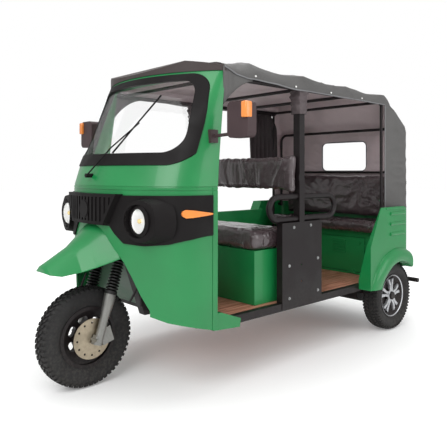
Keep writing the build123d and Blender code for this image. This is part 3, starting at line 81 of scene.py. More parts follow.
Colour = tuple[float, float, float]
Point = tuple[float, float, float]
Profile = Sequence[tuple[float, float]]
Verts = list[bmesh.types.BMVert]
Socket = bpy.types.NodeSocket
Entry = bpy.types.bpy_prop_collection       # a group's inputs, seen from inside it
Wired = dict[str, Socket]                   # what each of its outputs gets


class Side(Enum):
    """Sides of the vehicle, with the sign of their X values."""

    LEFT = 1
    RIGHT = -1


def srgb(red: int, green: int, blue: int) -> Colour:
    """Linear colour of an 8-bit screen colour.

    Args:
        red, green, blue: Channels from 0 to 255.

    Returns:
        The linear colour as three shares.
    """
    shares = (channel / 255 for channel in (red, green, blue))
    return tuple(s / 12.92 if s <= 0.04045 else ((s + 0.055) / 1.055) ** 2.4 for s in shares)


# ---------------------------------------------------------------- shader groups
class Graph:
    """A node tree with short calls for adding and joining nodes."""

    def __init__(self, tree: bpy.types.NodeTree) -> None:
        """Wraps the node tree of a material, world or group."""
        self.tree = tree

    def add(self, kind: str, inputs: dict[str | int, object] | None = None,
            **settings: object) -> bpy.types.Node:
        """Adds a node.

        Args:
            kind: The node's type without its ShaderNode prefix.
            inputs: Values or sockets by input name or index.
            settings: Attributes of the node itself.

        Returns:
            The new node.
        """
        node = self.tree.nodes.new("ShaderNode" + kind)
        for name, value in settings.items():
            setattr(node, name, value)
        self.feed(node, inputs or {})
        return node

    def feed(self, node: bpy.types.Node, inputs: dict[str | int, object]) -> None:
        """Links sockets to a node's inputs, or sets the inputs' own values.

        Args:
            node: The node.
            inputs: A socket, number, colour or vector by input name or index.
        """
        for name, value in inputs.items():
            socket = node.inputs[name]
            if isinstance(value, Socket):
                self.tree.links.new(value, socket)
            elif socket.type == "RGBA" and len(value) == 3:
                socket.default_value = (*value, 1.0)
            else:
                socket.default_value = value

    def maths(self, operation: str, *values: object, clamp: bool = False) -> Socket:
        """Result of one maths node.

        Args:
            operation: The operation's name.
            values: Its operands.
            clamp: Whether the result stays between 0 and 1.

        Returns:
            The result's socket.
        """
        return self.add("Math", dict(enumerate(values)), operation=operation, use_clamp=clamp).outputs[0]

    def blend(self, share: object, low: object, high: object) -> Socket:
        """Mix of two colours, where share is that of the second."""
        return self.add("Mix", {0: share, 6: low, 7: high}, data_type="RGBA").outputs[2]

    def ramp(self, value: object, low: float, high: float, start: float = 0.0, end: float = 1.0) -> Socket:
        """Value mapped from one range to another, smooth and clamped.

        Args:
            value: Socket to map.
            low, high: Its range.
            start, end: The range that it becomes.

        Returns:
            The mapped value's socket.
        """
        inputs = dict(enumerate((value, low, high, start, end)))
        return self.add("MapRange", inputs, interpolation_type="SMOOTHSTEP").outputs[0]

    def place(self) -> Socket:
        """Object coordinates."""
        return self.add("TexCoord").outputs["Object"]

    def seen(self) -> Socket:
        """1 where the camera looks, straight or through glass, else 0."""
        path = self.add("LightPath")
        return self.maths("MAXIMUM", path.outputs["Is Camera Ray"], path.outputs["Is Transmission Ray"])


Wiring = Callable[[Graph, Socket, Entry], Wired]
Maker = Callable[[], bpy.types.NodeTree]


def shader_group(*outputs: str, **inputs: float) -> Callable[[Wiring], Maker]:
    """Makes a wiring function into one that returns its group, built once.

    Args:
        outputs: Names of the group's outputs.
        inputs: Names of its inputs and their values.

    Returns:
        The decorator.
    """
    def decorate(wiring: Wiring) -> Maker:
        """Turns a wiring function into its group's maker.

        Args:
            wiring: Function that adds the group's nodes.

        Returns:
            Function that gives the group.
        """
        def group() -> bpy.types.NodeTree:
            """Finds or makes the group.

            Returns:
                Its node tree.
            """
            name = wiring.__name__
            if name in bpy.data.node_groups:
                return bpy.data.node_groups[name]
            tree = bpy.data.node_groups.new(name, "ShaderNodeTree")
            for label, value in inputs.items():
                socket = tree.interface.new_socket(label, in_out="INPUT", socket_type="NodeSocketFloat")
                socket.default_value = value
            for label in outputs:
                tree.interface.new_socket(label, in_out="OUTPUT", socket_type="NodeSocketFloat")
            entry = tree.nodes.new("NodeGroupInput")
            leave = tree.nodes.new("NodeGroupOutput")
            graph = Graph(tree)
            graph.feed(leave, wiring(graph, graph.place(), entry.outputs))
            return tree
        return group
    return decorate


@shader_group("Mask", "Height", Broad=4.0, Fine=400.0)
def mottle(graph: Graph, place: Socket, entry: Entry) -> Wired:
    """Two scales of noise, as a mask and a fine height.

    Args:
        graph: The group's nodes.
        place: Object coordinates.
        entry: The group's inputs.

    Returns:
        What each output gets.
    """
    broad = graph.add("TexNoise", {"Vector": place, "Scale": entry["Broad"], "Detail": 4.0})
    fine = graph.add("TexNoise", {"Vector": place, "Scale": entry["Fine"], "Detail": 3.0})
    return {"Mask": graph.ramp(broad.outputs[0], 0.35, 0.65), "Height": fine.outputs[0]}


@shader_group("Mask", Amount=0.3, Reach=0.6)
def dust(graph: Graph, place: Socket, entry: Entry) -> Wired:
    """Dust that thickens towards the road.

    Args:
        graph: The group's nodes.
        place: Object coordinates.
        entry: The group's inputs.

    Returns:
        What each output gets.
    """
    height = graph.add("SeparateXYZ", {0: place}).outputs[2]
    low = graph.ramp(height, 0.0, entry["Reach"], 1.0, 0.0)
    speckle = graph.add("TexNoise", {"Vector": place, "Scale": 60.0, "Detail": 6.0, "Roughness": 0.7})
    cloud = graph.ramp(speckle.outputs[0], 0.35, 0.75)
    return {"Mask": graph.maths("MULTIPLY", graph.maths("MULTIPLY", low, cloud), entry["Amount"])}


@shader_group("Grain", "Crease", Scale=420.0, Crease=9.0)
def leather(graph: Graph, place: Socket, entry: Entry) -> Wired:
    """Embossed grain of seat vinyl: cells with soft valleys, and long creases.

    Args:
        graph: The group's nodes.
        place: Object coordinates.
        entry: The group's inputs.

    Returns:
        What each output gets.
    """
    cells = graph.add("TexVoronoi", {"Vector": place, "Scale": entry["Scale"]}, feature="DISTANCE_TO_EDGE")
    creases = graph.add("TexNoise", {"Vector": place, "Scale": entry["Crease"], "Detail": 5.0,
                                     "Distortion": 1.2})
    ridge = graph.maths("ABSOLUTE", graph.maths("SUBTRACT", creases.outputs[0], 0.5))
    return {"Grain": graph.ramp(cells.outputs[0], 0.0, 0.25), "Crease": graph.ramp(ridge, 0.0, 0.09)}


@shader_group("Height", Scale=260.0)
def weave(graph: Graph, place: Socket, entry: Entry) -> Wired:
    """Plain weave of coated canvas.

    Args:
        graph: The group's nodes.
        place: Object coordinates.
        entry: The group's inputs.

    Returns:
        What each output gets.
    """
    waves = [graph.add("TexWave", {"Vector": place, "Scale": entry["Scale"], "Distortion": 0.4},
                       bands_direction=direction).outputs["Fac"] for direction in "XYZ"]
    return {"Height": graph.maths("MAXIMUM", graph.maths("MAXIMUM", *waves[:2]), waves[2])}


# ---------------------------------------------------------------- finishes
@dataclass(frozen=True)
class Surface:
    """What every finish has: a material of its name, made once."""

    name: str
    colour: Colour

    def wire(self, graph: Graph, shader: bpy.types.Node) -> None:
        """Sets up the material's nodes, each finish in its own way."""
        raise NotImplementedError

    def material(self) -> bpy.types.Material:
        """Finds or makes the material of this finish.

        Returns:
            The material.
        """
        material = bpy.data.materials.get(self.name)
        if not material:
            material = bpy.data.materials.new(self.name)
            material.use_nodes = True
            self.wire(Graph(material.node_tree), material.node_tree.nodes["Principled BSDF"])
        return material


@dataclass(frozen=True)
class Finish(Surface):
    """A surface of one colour whose grain and dust vary over it."""

    roughness: float = 0.5
    metallic: float = 0.0
    coat: float = 0.0
    specular: float = 0.5
    grain_scale: float = 500.0
    grain_depth: float = 0.0004
    variation: float = 0.12
    dust_amount: float = 0.15
    dust_reach: float = 0.7
    dust_colour: Colour = (0.30, 0.27, 0.23)

    def tint(self, graph: Graph, mask: Socket) -> Socket:
        """Base colour, a little darker and lighter over the surface.

        Args:
            graph: The material's nodes.
            mask: Where it is lighter.

        Returns:
            The colour's socket.
        """
        dark = tuple(c * (1 - self.variation) for c in self.colour)
        light = tuple(min(1.0, c * (1 + self.variation)) for c in self.colour)
        return graph.blend(mask, dark, light)

    def height(self, graph: Graph, fine: Socket) -> Socket:
        """Height that the bump reads."""
        return fine

    def wire(self, graph: Graph, shader: bpy.types.Node) -> None:
        """Wires colour, roughness and bump into a Principled BSDF.

        Args:
            graph: The material's nodes.
            shader: Its Principled BSDF.
        """
        spread = graph.add("Group", {"Fine": self.grain_scale}, node_tree=mottle()).outputs
        dirt = graph.add("Group", {"Amount": self.dust_amount, "Reach": self.dust_reach},
                         node_tree=dust()).outputs["Mask"]
        rough = graph.ramp(spread["Mask"], 0.0, 1.0, self.roughness * 0.85, min(1.0, self.roughness * 1.15))
        bump = graph.add("Bump", {"Height": self.height(graph, spread["Height"]), "Strength": 1.0,
                                  "Distance": self.grain_depth})
        graph.feed(shader, {
            "Base Color": graph.blend(dirt, self.tint(graph, spread["Mask"]), self.dust_colour),
            "Roughness": graph.maths("ADD", rough, graph.maths("MULTIPLY", dirt, 0.4), clamp=True),
            "Normal": bump.outputs[0], "Metallic": self.metallic, "Specular IOR Level": self.specular,
            "Coat Weight": self.coat, "Coat Roughness": 0.08})


@dataclass(frozen=True)
class VinylFinish(Finish):
    """Seat vinyl with an embossed grain and soft creases."""

    grain: float = 420.0
    crease: float = 9.0

    def height(self, graph: Graph, fine: Socket) -> Socket:
        """Grain and creases together.

        Args:
            graph: The material's nodes.
            fine: Fine noise, which the grain stands in for.

        Returns:
            The height's socket.
        """
        skin = graph.add("Group", {"Scale": self.grain, "Crease": self.crease}, node_tree=leather()).outputs
        return graph.maths("ADD", graph.maths("MULTIPLY", skin["Grain"], 0.35),
                           graph.maths("MULTIPLY", skin["Crease"], 1.4))


@dataclass(frozen=True)
class CanvasFinish(Finish):
    """Coated canvas with its weave showing through."""

    roughness: float = 0.6
    grain_depth: float = 0.0003
    variation: float = 0.08
    threads: float = 260.0

    def height(self, graph: Graph, fine: Socket) -> Socket:
        """Weave over a little noise."""
        cloth = graph.add("Group", {"Scale": self.threads}, node_tree=weave()).outputs["Height"]
        return graph.maths("ADD", cloth, graph.maths("MULTIPLY", fine, 0.6))


@dataclass(frozen=True)
class WoodFinish(Finish):
    """Faced plywood with its grain along the vehicle."""

    grain_colour: Colour = (0.3, 0.12, 0.07)

    def tint(self, graph: Graph, mask: Socket) -> Socket:
        """Stretched streaks of two browns.

        Args:
            graph: The material's nodes.
            mask: Where the paler brown is lighter.

        Returns:
            The colour's socket.
        """
        stretched = graph.add("Mapping", {"Vector": graph.place(), "Scale": (14.0, 1.1, 14.0)}).outputs[0]
        streaks = graph.add("TexNoise", {"Vector": stretched, "Scale": 5.0, "Detail": 8.0, "Distortion": 0.8})
        share = graph.ramp(streaks.outputs[0], 0.42, 0.66)
        return graph.blend(share, super().tint(graph, mask), self.grain_colour)


@dataclass(frozen=True)
class GlassFinish(Surface):
    """Clear or tinted glass, or a lamp's lens."""

    roughness: float = 0.02
    alpha: float = 1.0
    bend: float = 1.1       # index of refraction, low because the panes are thin

    def wire(self, graph: Graph, shader: bpy.types.Node) -> None:
        """Wires a Principled BSDF as glass.

        Args:
            graph: The material's nodes.
            shader: Its Principled BSDF.
        """
        spread = graph.add("Group", node_tree=mottle()).outputs["Mask"]
        graph.feed(shader, {
            "Base Color": self.colour, "Transmission Weight": 1.0, "IOR": self.bend, "Alpha": self.alpha,
            "Roughness": graph.ramp(spread, 0.0, 1.0, self.roughness, self.roughness * 2.5)})


@dataclass(frozen=True)
class FloorFinish(Surface):
    """Matt floor that glows away from the vehicle, so that it fades into the background, and glows less under
    and round it, which is painted shadow that deepens its cast shadow.
    """

    # painted shadow: the low glow under the vehicle darkens the floor there
    glow: tuple[float, float] = (0.06, 0.46)        # under the vehicle and far from it
    falloff: Point = (0.55, 0.42, 0.0)              # how fast it grows along each axis

    def wire(self, graph: Graph, shader: bpy.types.Node) -> None:
        """Wires a Principled BSDF as the floor.

        Args:
            graph: The material's nodes.
            shader: Its Principled BSDF.
        """
        seen = graph.seen()
        reach = graph.add("VectorMath", {0: graph.place(), 1: self.falloff}, operation="MULTIPLY")
        length = graph.add("VectorMath", {0: reach.outputs["Vector"]}, operation="LENGTH")
        # glow grows with distance from the vehicle; its low value near it is painted shadow
        away = graph.ramp(length.outputs["Value"], 0.25, 1.15, *self.glow)
        graph.feed(shader, {"Base Color": self.colour, "Roughness": 0.9, "Emission Color": (1.0, 1.0, 1.0),
                            "Emission Strength": graph.maths("MULTIPLY", seen, away)})


GREEN_PAINT = Finish("green_paint", srgb(17, 128, 66), roughness=0.42, coat=0.28, grain_scale=900.0,
                     grain_depth=0.00005, variation=0.05, dust_amount=0.02)
GREY_GREEN_PAINT = Finish("grey_green_paint", srgb(70, 100, 80), variation=0.15, dust_amount=0.4)
BLACK_PLASTIC = Finish("black_plastic", srgb(13, 9, 10), roughness=0.62, specular=0.25, grain_scale=1400.0,
                       grain_depth=0.00012, dust_amount=0.03)
BLACK_STEEL = Finish("black_steel", srgb(22, 15, 17), coat=0.08, specular=0.3, dust_amount=0.08)
TYRE_RUBBER = Finish("tyre_rubber", srgb(24, 23, 24), roughness=0.75, grain_scale=700.0, grain_depth=0.0002,
                     dust_amount=0.12)
WHEEL_SILVER = Finish("wheel_silver", srgb(196, 198, 202), roughness=0.34, metallic=0.6, coat=0.3,
                      dust_amount=0.2)
ALLOY = Finish("alloy", srgb(150, 150, 146), roughness=0.42, metallic=0.85, grain_scale=260.0,
               dust_amount=0.3, dust_colour=(0.12, 0.11, 0.10))
DISC_STEEL = Finish("disc_steel", srgb(168, 156, 136), roughness=0.3, metallic=1.0, variation=0.2,
                    dust_amount=0.3, dust_colour=(0.1, 0.09, 0.07))
BELLOWS_RUBBER = Finish("bellows_rubber", srgb(16, 15, 15), roughness=0.45, dust_amount=0.05)
SEAT_VINYL = VinylFinish("seat_vinyl", srgb(70, 58, 61), roughness=0.3, coat=1.0, grain_depth=0.0007,
                         dust_amount=0.05)
CANOPY_VINYL = CanvasFinish("canopy_vinyl", srgb(84, 83, 82), roughness=0.5, variation=0.1)
FLOOR_WOOD = WoodFinish("floor_wood", srgb(196, 140, 116), variation=0.08, dust_amount=0.0,
                        grain_colour=srgb(150, 92, 70))
BATTERY_CASE = Finish("battery_case", srgb(28, 28, 30), roughness=0.35)
AMBER_LENS = Finish("amber_lens", srgb(238, 140, 60), roughness=0.18, coat=0.6, dust_amount=0.0)
RED_LENS = Finish("red_lens", srgb(170, 22, 20), roughness=0.18, coat=0.6, dust_amount=0.0)
WINDOW_GLASS = GlassFinish("glass", (0.96, 0.98, 0.97), alpha=0.10)
LAMP_LENS = GlassFinish("lamp_lens", (0.95, 0.96, 0.95), alpha=0.2)
CANOPY_LINING = CanvasFinish("canopy_lining", srgb(206, 190, 193))
# painted shade: the curtain's dark brown stands in for the shadow it hangs in on the far side
SHADED_CURTAIN_VINYL = CanvasFinish("curtain_vinyl", srgb(52, 42, 45), dust_amount=0.03)
CAB_CANVAS = CanvasFinish("cab_canvas", srgb(58, 49, 48))
CANOPY_SLEEVE = CanvasFinish("canopy_sleeve", srgb(84, 74, 76))
CANOPY_TRIM = CanvasFinish("canopy_trim", srgb(118, 118, 120), grain_depth=0.0002)
MIRROR_SHELL = Finish("mirror_shell", srgb(66, 52, 54), roughness=0.45, specular=0.3, dust_amount=0.03)
WHITE_CAP = Finish("white_cap", srgb(235, 235, 232), roughness=0.4, dust_amount=0.05)
# painted reflection: the near-white, partly metallic bowl stands in for the bright surroundings a chrome
# reflector would mirror
LAMP_BOWL_PAINTED_REFLECTION = Finish("lamp_bowl", srgb(246, 246, 242), roughness=0.3, metallic=0.35, dust_amount=0.0,
                   grain_depth=0.0)
BULB = Finish("lamp_bulb", srgb(240, 214, 150), roughness=0.2, dust_amount=0.0)
ZINC = Finish("zinc", srgb(170, 172, 172), roughness=0.35, metallic=0.9, dust_amount=0.1)
MIRROR = Finish("mirror", (0.9, 0.9, 0.9), roughness=0.03, metallic=1.0, dust_amount=0.0, grain_depth=0.0)
STUDIO_FLOOR = FloorFinish("studio_floor", (0.93, 0.93, 0.93))

SLOT_FINISHES = {finish.name: finish for finish in (
    GREEN_PAINT, GREY_GREEN_PAINT, BLACK_PLASTIC, BLACK_STEEL, TYRE_RUBBER, WHEEL_SILVER, ALLOY, DISC_STEEL,
    BELLOWS_RUBBER, SEAT_VINYL, CANOPY_VINYL, FLOOR_WOOD, BATTERY_CASE, AMBER_LENS, RED_LENS, WINDOW_GLASS,
    LAMP_LENS, MIRROR)}
# nodes whose finish isn't their slot's
NODE_FINISHES = {"mirrors": MIRROR_SHELL, "canopy_front": CAB_CANVAS}


# ---------------------------------------------------------------- studio
@dataclass
class Studio:
    """Camera, lights, world and floor."""

    eye: Point = (2.722, -2.617, 1.186)
    azimuth: float = 47.4
    lens: float = 43.35
    shift: tuple[float, float] = (0.0027, -0.1157)
    floor_size: float = 30.0
    aim: Point = (0.0, 0.0, 0.8)
    ambient: float = 0.62
    # name, place, size and power
    lamps: Sequence[tuple[str, Point, float, float]] = (
        ("key", (2.2, -4.6, 4.2), 3.5, 170.0),
        ("fill", (5.2, 1.6, 2.6), 3.5, 80.0),
        ("top", (-0.6, 0.4, 5.2), 4.0, 110.0))

    def camera(self) -> None:
        """Level camera at the viewing angle."""
        data = bpy.data.cameras.new("camera")
        data.lens = self.lens
        data.sensor_width = 36.0
        data.shift_x, data.shift_y = self.shift
        camera = placed("camera", data)
        camera.location = self.eye
        camera.rotation_euler = (math.radians(90), 0.0, math.radians(self.azimuth))
        bpy.context.scene.camera = camera

    def lights(self) -> None:
        """Large soft lamps aimed at the vehicle's middle."""
        for name, place, size, power in self.lamps:
            data = bpy.data.lights.new(name, "AREA")
            data.size = size
            data.energy = power
            lamp = placed(name, data)
            lamp.location = place
            lamp.rotation_euler = (Vector(self.aim) - Vector(place)).to_track_quat("-Z", "Y").to_euler()

    def world(self) -> None:
        """Grey light all round, with a white background where it is seen."""
        world = bpy.data.worlds.new("studio")
        world.use_nodes = True
        bpy.context.scene.world = world
        graph = Graph(world.node_tree)
        graph.feed(world.node_tree.nodes["Background"],
                   {0: (1.0, 1.0, 1.0), 1: graph.ramp(graph.seen(), 0.0, 1.0, self.ambient, 1.0)})

    def floor(self) -> None:
        """Pale floor that keeps the shadow, darkened near the vehicle by painted shadow, and fades into the
        background.
        """
        shape = Shape()
        bmesh.ops.create_grid(shape.mesh, x_segments=1, y_segments=1, size=self.floor_size)
        floor = placed("floor", shape.data("floor"))
        floor.data.materials.append(STUDIO_FLOOR.material())

    def build(self) -> None:
        """Puts everything around the vehicle."""
        bpy.context.scene.view_settings.view_transform = "Standard"
        self.camera()
        self.lights()
        self.world()
        self.floor()
        LOG.info("studio is set")


# ---------------------------------------------------------------- shapes
AXLE_Y = -1.1525        # Y of the front axle, where stations start
SIDES = (Side.RIGHT.value, Side.LEFT.value)


def spot(x: float, station: float, height: float) -> Vector:
    """Point to the vehicle's left, behind the front axle and over the ground."""
    return Vector((x, AXLE_Y + station, height))


def lies(middle: Vector, way: Vector) -> Matrix:
    """Frame at a point whose X axis runs a given way."""
    return Matrix.Translation(middle) @ way.to_track_quat("X", "Z").to_matrix().to_4x4()


def blended(low: float, high: float, share: float) -> float:
    """Value that eases from low to high as share goes from 0 to 1."""
    eased = share * share * (3 - 2 * share)
    return low + (high - low) * eased


def placed(name: str, data: bpy.types.ID) -> bpy.types.Object:
    """Puts a mesh, camera or lamp in the scene.

    Args:
        name: The new object's name.
        data: What it holds.

    Returns:
        The object.
    """
    made = bpy.data.objects.new(name, data)
    bpy.context.scene.collection.objects.link(made)
    return made


class Shape:
    """A mesh under construction, which becomes one piece."""

    def __init__(self) -> None:
        """Starts empty."""
        self.mesh = bmesh.new()

    def since(self, count: int) -> Verts:
        """Vertices made after the mesh had count of them."""
        return list(self.mesh.verts)[count:]

    def weld(self, count: int, reach: float) -> None:
        """Joins the points that lie together among those made after the mesh had count of them."""
        bmesh.ops.remove_doubles(self.mesh, verts=self.since(count), dist=reach)

    def block(self, place: Callable[[Vector], Vector]) -> None:
        """Six-sided block whose corners a function takes from those of a cube, half a unit out."""
        for vert in bmesh.ops.create_cube(self.mesh, size=1.0)["verts"]:
            vert.co = place(vert.co)

    def box(self, low: Sequence[float], high: Sequence[float]) -> None:
        """Box between two opposite corners."""
        low, high = Vector(low), Vector(high)
        self.block(lambda corner: (low + high) / 2 + corner * (high - low))

    def rod(self, start: Vector, end: Vector, radius: float, sides: int = 20) -> None:
        """Round bar between two points.

        Args:
            start, end: Middles of its ends.
            radius: Its radius.
            sides: Facets round it.
        """
        way = end - start
        made = bmesh.ops.create_cone(self.mesh, cap_ends=True, segments=sides, radius1=radius, radius2=radius,
                                     depth=way.length)["verts"]
        turn = way.to_track_quat("Z", "Y").to_matrix().to_4x4()
        bmesh.ops.transform(self.mesh, matrix=Matrix.Translation((start + end) / 2) @ turn, verts=made)

    def lathe(self, profile: Profile, place: Matrix, steps: int = 64, closed: bool = False) -> None:
        """Profile turned about the local X axis.

        Args:
            profile: Distance along the axis and radius of each point.
            place: Where the local frame goes.
            steps: Facets round it.
            closed: Whether the last point joins the first.
        """
        count = len(self.mesh.verts)
        ring = [self.mesh.verts.new((along, 0.0, radius)) for along, radius in profile]
        pairs = list(zip(ring, ring[1:])) + ([(ring[-1], ring[0])] if closed else [])
        edges = [self.mesh.edges.new(pair) for pair in pairs]
        bmesh.ops.spin(self.mesh, geom=[*ring, *edges], cent=(0, 0, 0), axis=(1, 0, 0), angle=math.tau,
                       steps=steps, use_merge=True, use_duplicate=False)
        bmesh.ops.transform(self.mesh, matrix=place, verts=self.since(count))

    def grid(self, columns: int, rows: int, place: Callable[[float, float], Vector]) -> None:
        """Sheet whose points a function places.

        Args:
            columns, rows: Cells each way.
            place: Takes two shares from 0 to 1 and returns the point.
        """
        for vert in bmesh.ops.create_grid(self.mesh, x_segments=columns, y_segments=rows, size=0.5)["verts"]:
            vert.co = place(min(1.0, max(0.0, vert.co.x + 0.5)), min(1.0, max(0.0, vert.co.y + 0.5)))

    def pipe(self, points: Sequence[Vector], radius: float, closed: bool = False) -> None:
        """Round tube along a smooth line.

        Args:
            points: Control points of the line.
            radius: The tube's radius.
            closed: Whether the line is a loop.
        """
        curve = bpy.data.curves.new("path", "CURVE")
        curve.dimensions = "3D"
        curve.bevel_depth = radius
        curve.bevel_resolution = 3
        curve.use_fill_caps = not closed
        spline = curve.splines.new("NURBS")
        spline.points.add(len(points) - 1)
        for knot, point in zip(spline.points, points):
            knot.co = (*point, 1.0)
        spline.order_u = 3
        spline.use_endpoint_u = not closed
        spline.use_cyclic_u = closed
        spline.resolution_u = 6
        holder = bpy.data.objects.new("path", curve)
        mesh = bpy.data.meshes.new_from_object(holder)
        self.mesh.from_mesh(mesh)
        bpy.data.objects.remove(holder)
        bpy.data.curves.remove(curve)
        bpy.data.meshes.remove(mesh)

    def round_edges(self, width: float, segments: int = 2, angle: float = 35.0) -> None:
        """Bevels every edge that is sharper than an angle.

        Args:
            width: The bevel's width.
            segments: Its steps.
            angle: Degrees between the faces of the edges that it takes.
        """
        limit = math.radians(angle)
        sharp = [edge for edge in self.mesh.edges
                 if len(edge.link_faces) == 2 and edge.calc_face_angle() > limit]
        bmesh.ops.bevel(self.mesh, geom=sharp, offset=width, segments=segments, profile=0.5, affect="EDGES",
                        material=-1, clamp_overlap=True)

    def data(self, name: str) -> bpy.types.Mesh:
        """Ends the construction and gives its mesh.

        Args:
            name: The mesh's name.

        Returns:
            The mesh.
        """
        mesh = bpy.data.meshes.new(name)
        self.mesh.to_mesh(mesh)
        self.mesh.free()
        return mesh

    def piece(self, name: str, finish: Surface, body: str = "body", replaces: Sequence[str] = (),
              angle: float = 35.0) -> bpy.types.Object:
        """Closes the mesh and makes it a piece of the vehicle.

        Args:
            name: The piece's name.
            finish: Its surface.
            body: The body that it rides on.
            replaces: CAD nodes that it stands for.
            angle: Degrees above which an edge shades sharp.

        Returns:
            The piece's object.
        """
        bmesh.ops.remove_doubles(self.mesh, verts=self.mesh.verts, dist=1e-5)
        bmesh.ops.recalc_face_normals(self.mesh, faces=self.mesh.faces)
        return as_piece(name, self.data(name), finish, body, replaces, angle)


RECORD_SLOTS: set[str] = set()      # filled from the record by main()


def as_piece(name: str, mesh: bpy.types.Mesh, finish: Surface, body: str, replaces: Sequence[str] = (),
             angle: float = 35.0) -> bpy.types.Object:
    """Makes a mesh a finished piece that rides on a body.

    Args:
        name: The piece's name.
        mesh: Its mesh.
        finish: Its surface.
        body: The body that it rides on.
        replaces: CAD nodes that it stands for.
        angle: Degrees above which an edge shades sharp.

    Returns:
        The piece's object.
    """
    mesh.shade_smooth()
    mesh.set_sharp_from_angle(angle=math.radians(angle))
    if not mesh.materials:
        mesh.materials.append(finish.material())
    piece = placed(name, mesh)
    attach(piece, body)
    if replaces:
        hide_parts(*replaces)
    LOG.info("%s: %d faces on %s", name, len(mesh.polygons), body)
    return piece


def thicken(piece: bpy.types.Object, thickness: float) -> bpy.types.Modifier:
    """Gives a sheet its thickness.

    Args:
        piece: The sheet.
        thickness: The cloth's thickness.

    Returns:
        The modifier that does it.
    """
    skin = piece.modifiers.new("skin", "SOLIDIFY")
    skin.thickness = thickness
    return skin


def settled(piece: bpy.types.Object) -> bpy.types.Mesh:
    """Mesh of an object with its modifiers worked out.

    Args:
        piece: The object.

    Returns:
        A new mesh.
    """
    graph = bpy.context.evaluated_depsgraph_get()
    graph.update()
    return bpy.data.meshes.new_from_object(piece.evaluated_get(graph))


# ---------------------------------------------------------------- bodywork
@dataclass
class Bodywork:
    """CAD nodes shown through merged copies with rounded edges."""

    frame: dict
    weld: float = 2e-5          # reach within which points join
    flat: float = 0.6           # degrees up to which neighbouring faces count as one
    edge_angle: float = 34.0    # degrees above which an edge is rounded
    # node and width of its rounded edges
    edges: dict[str, float] = field(default_factory=lambda: {
        "cab_lower_shell": 0.002, "cab_upper_shell": 0.002, "cab_roof": 0.003, "front_mudguard": 0.002,
        "quarter_panel_left": 0.002, "quarter_panel_right": 0.002, "rear_panel": 0.002,
        "driver_seat_box": 0.004, "rear_seat_base": 0.002, "battery_door": 0.001, "right_side_panel": 0.002,
        "wheel_well": 0.002, "rear_floor_pan": 0.001, "grille_panel": 0.002, "windscreen_frame": 0.008,
        "dashboard": 0.004, "chassis_frame": 0.002, "b_pillar_panels": 0.001, "canopy_frame": 0.003,
        "rear_bumper": 0.002, "rear_axle": 0.002, "leaf_springs": 0.001, "fork_legs": 0.003,
        "fork_yoke": 0.003, "brake_caliper": 0.003, "brake_disc": 0.0004, "floor_board": 0.001,
        "battery_pack": 0.003, "tail_lamps": 0.003, "turn_lamps": 0.003, "mirrors": 0.006,
        "canopy_front": 0.004, "handlebar": 0.001, "wiper": 0.0008, "front_rim": 0.0015, "grab_hoops": 0.0})

    def copy(self, node: str, width: float, finish: Finish) -> None:
        """Shows one node by its merged copy.

        Args:
            node: The CAD node.
            width: Width of its rounded edges, or 0.
            finish: Its surface.
        """
        source = self.frame["nodes"][node]
        shape = Shape()
        shape.mesh.from_mesh(source.data)
        shape.weld(0, self.weld)
        bmesh.ops.dissolve_limit(shape.mesh, angle_limit=math.radians(self.flat), verts=shape.mesh.verts,
                                 edges=shape.mesh.edges)
        mesh = shape.data(node + "_dressed")
        if "custom_normal" in mesh.attributes:
            mesh.attributes.remove(mesh.attributes["custom_normal"])
        mesh.materials.clear()
        piece = as_piece(node + "_dressed", mesh, finish, source["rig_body"], [node], 30.0)
        if width:
            bevel = piece.modifiers.new("edges", "BEVEL")
            bevel.width = width
            bevel.segments = 2
            bevel.limit_method = "ANGLE"
            bevel.angle_limit = math.radians(self.edge_angle)
            bevel.harden_normals = True

    def build(self) -> None:
        """Dresses every node, and copies those with edges to round."""
        slots = {part["node"]: part["material_slot"] for part in self.frame["record"]["subparts"]}
        for name, node in self.frame["nodes"].items():
            finish = NODE_FINISHES.get(name, SLOT_FINISHES[slots[name]])
            node.data.materials.clear()
            node.data.materials.append(finish.material())
            if name in self.edges:
                self.copy(name, self.edges[name], finish)


# ---------------------------------------------------------------- wheels
@dataclass
class LugRow:
    """One ring of tread lugs."""

    across: float       # of its middle from the tyre's middle plane
    width: float
    length: float       # along the tread
    skew: float = 0.0   # radians that one side leads the other
    shift: float = 0.0  # pitches that the ring is turned by


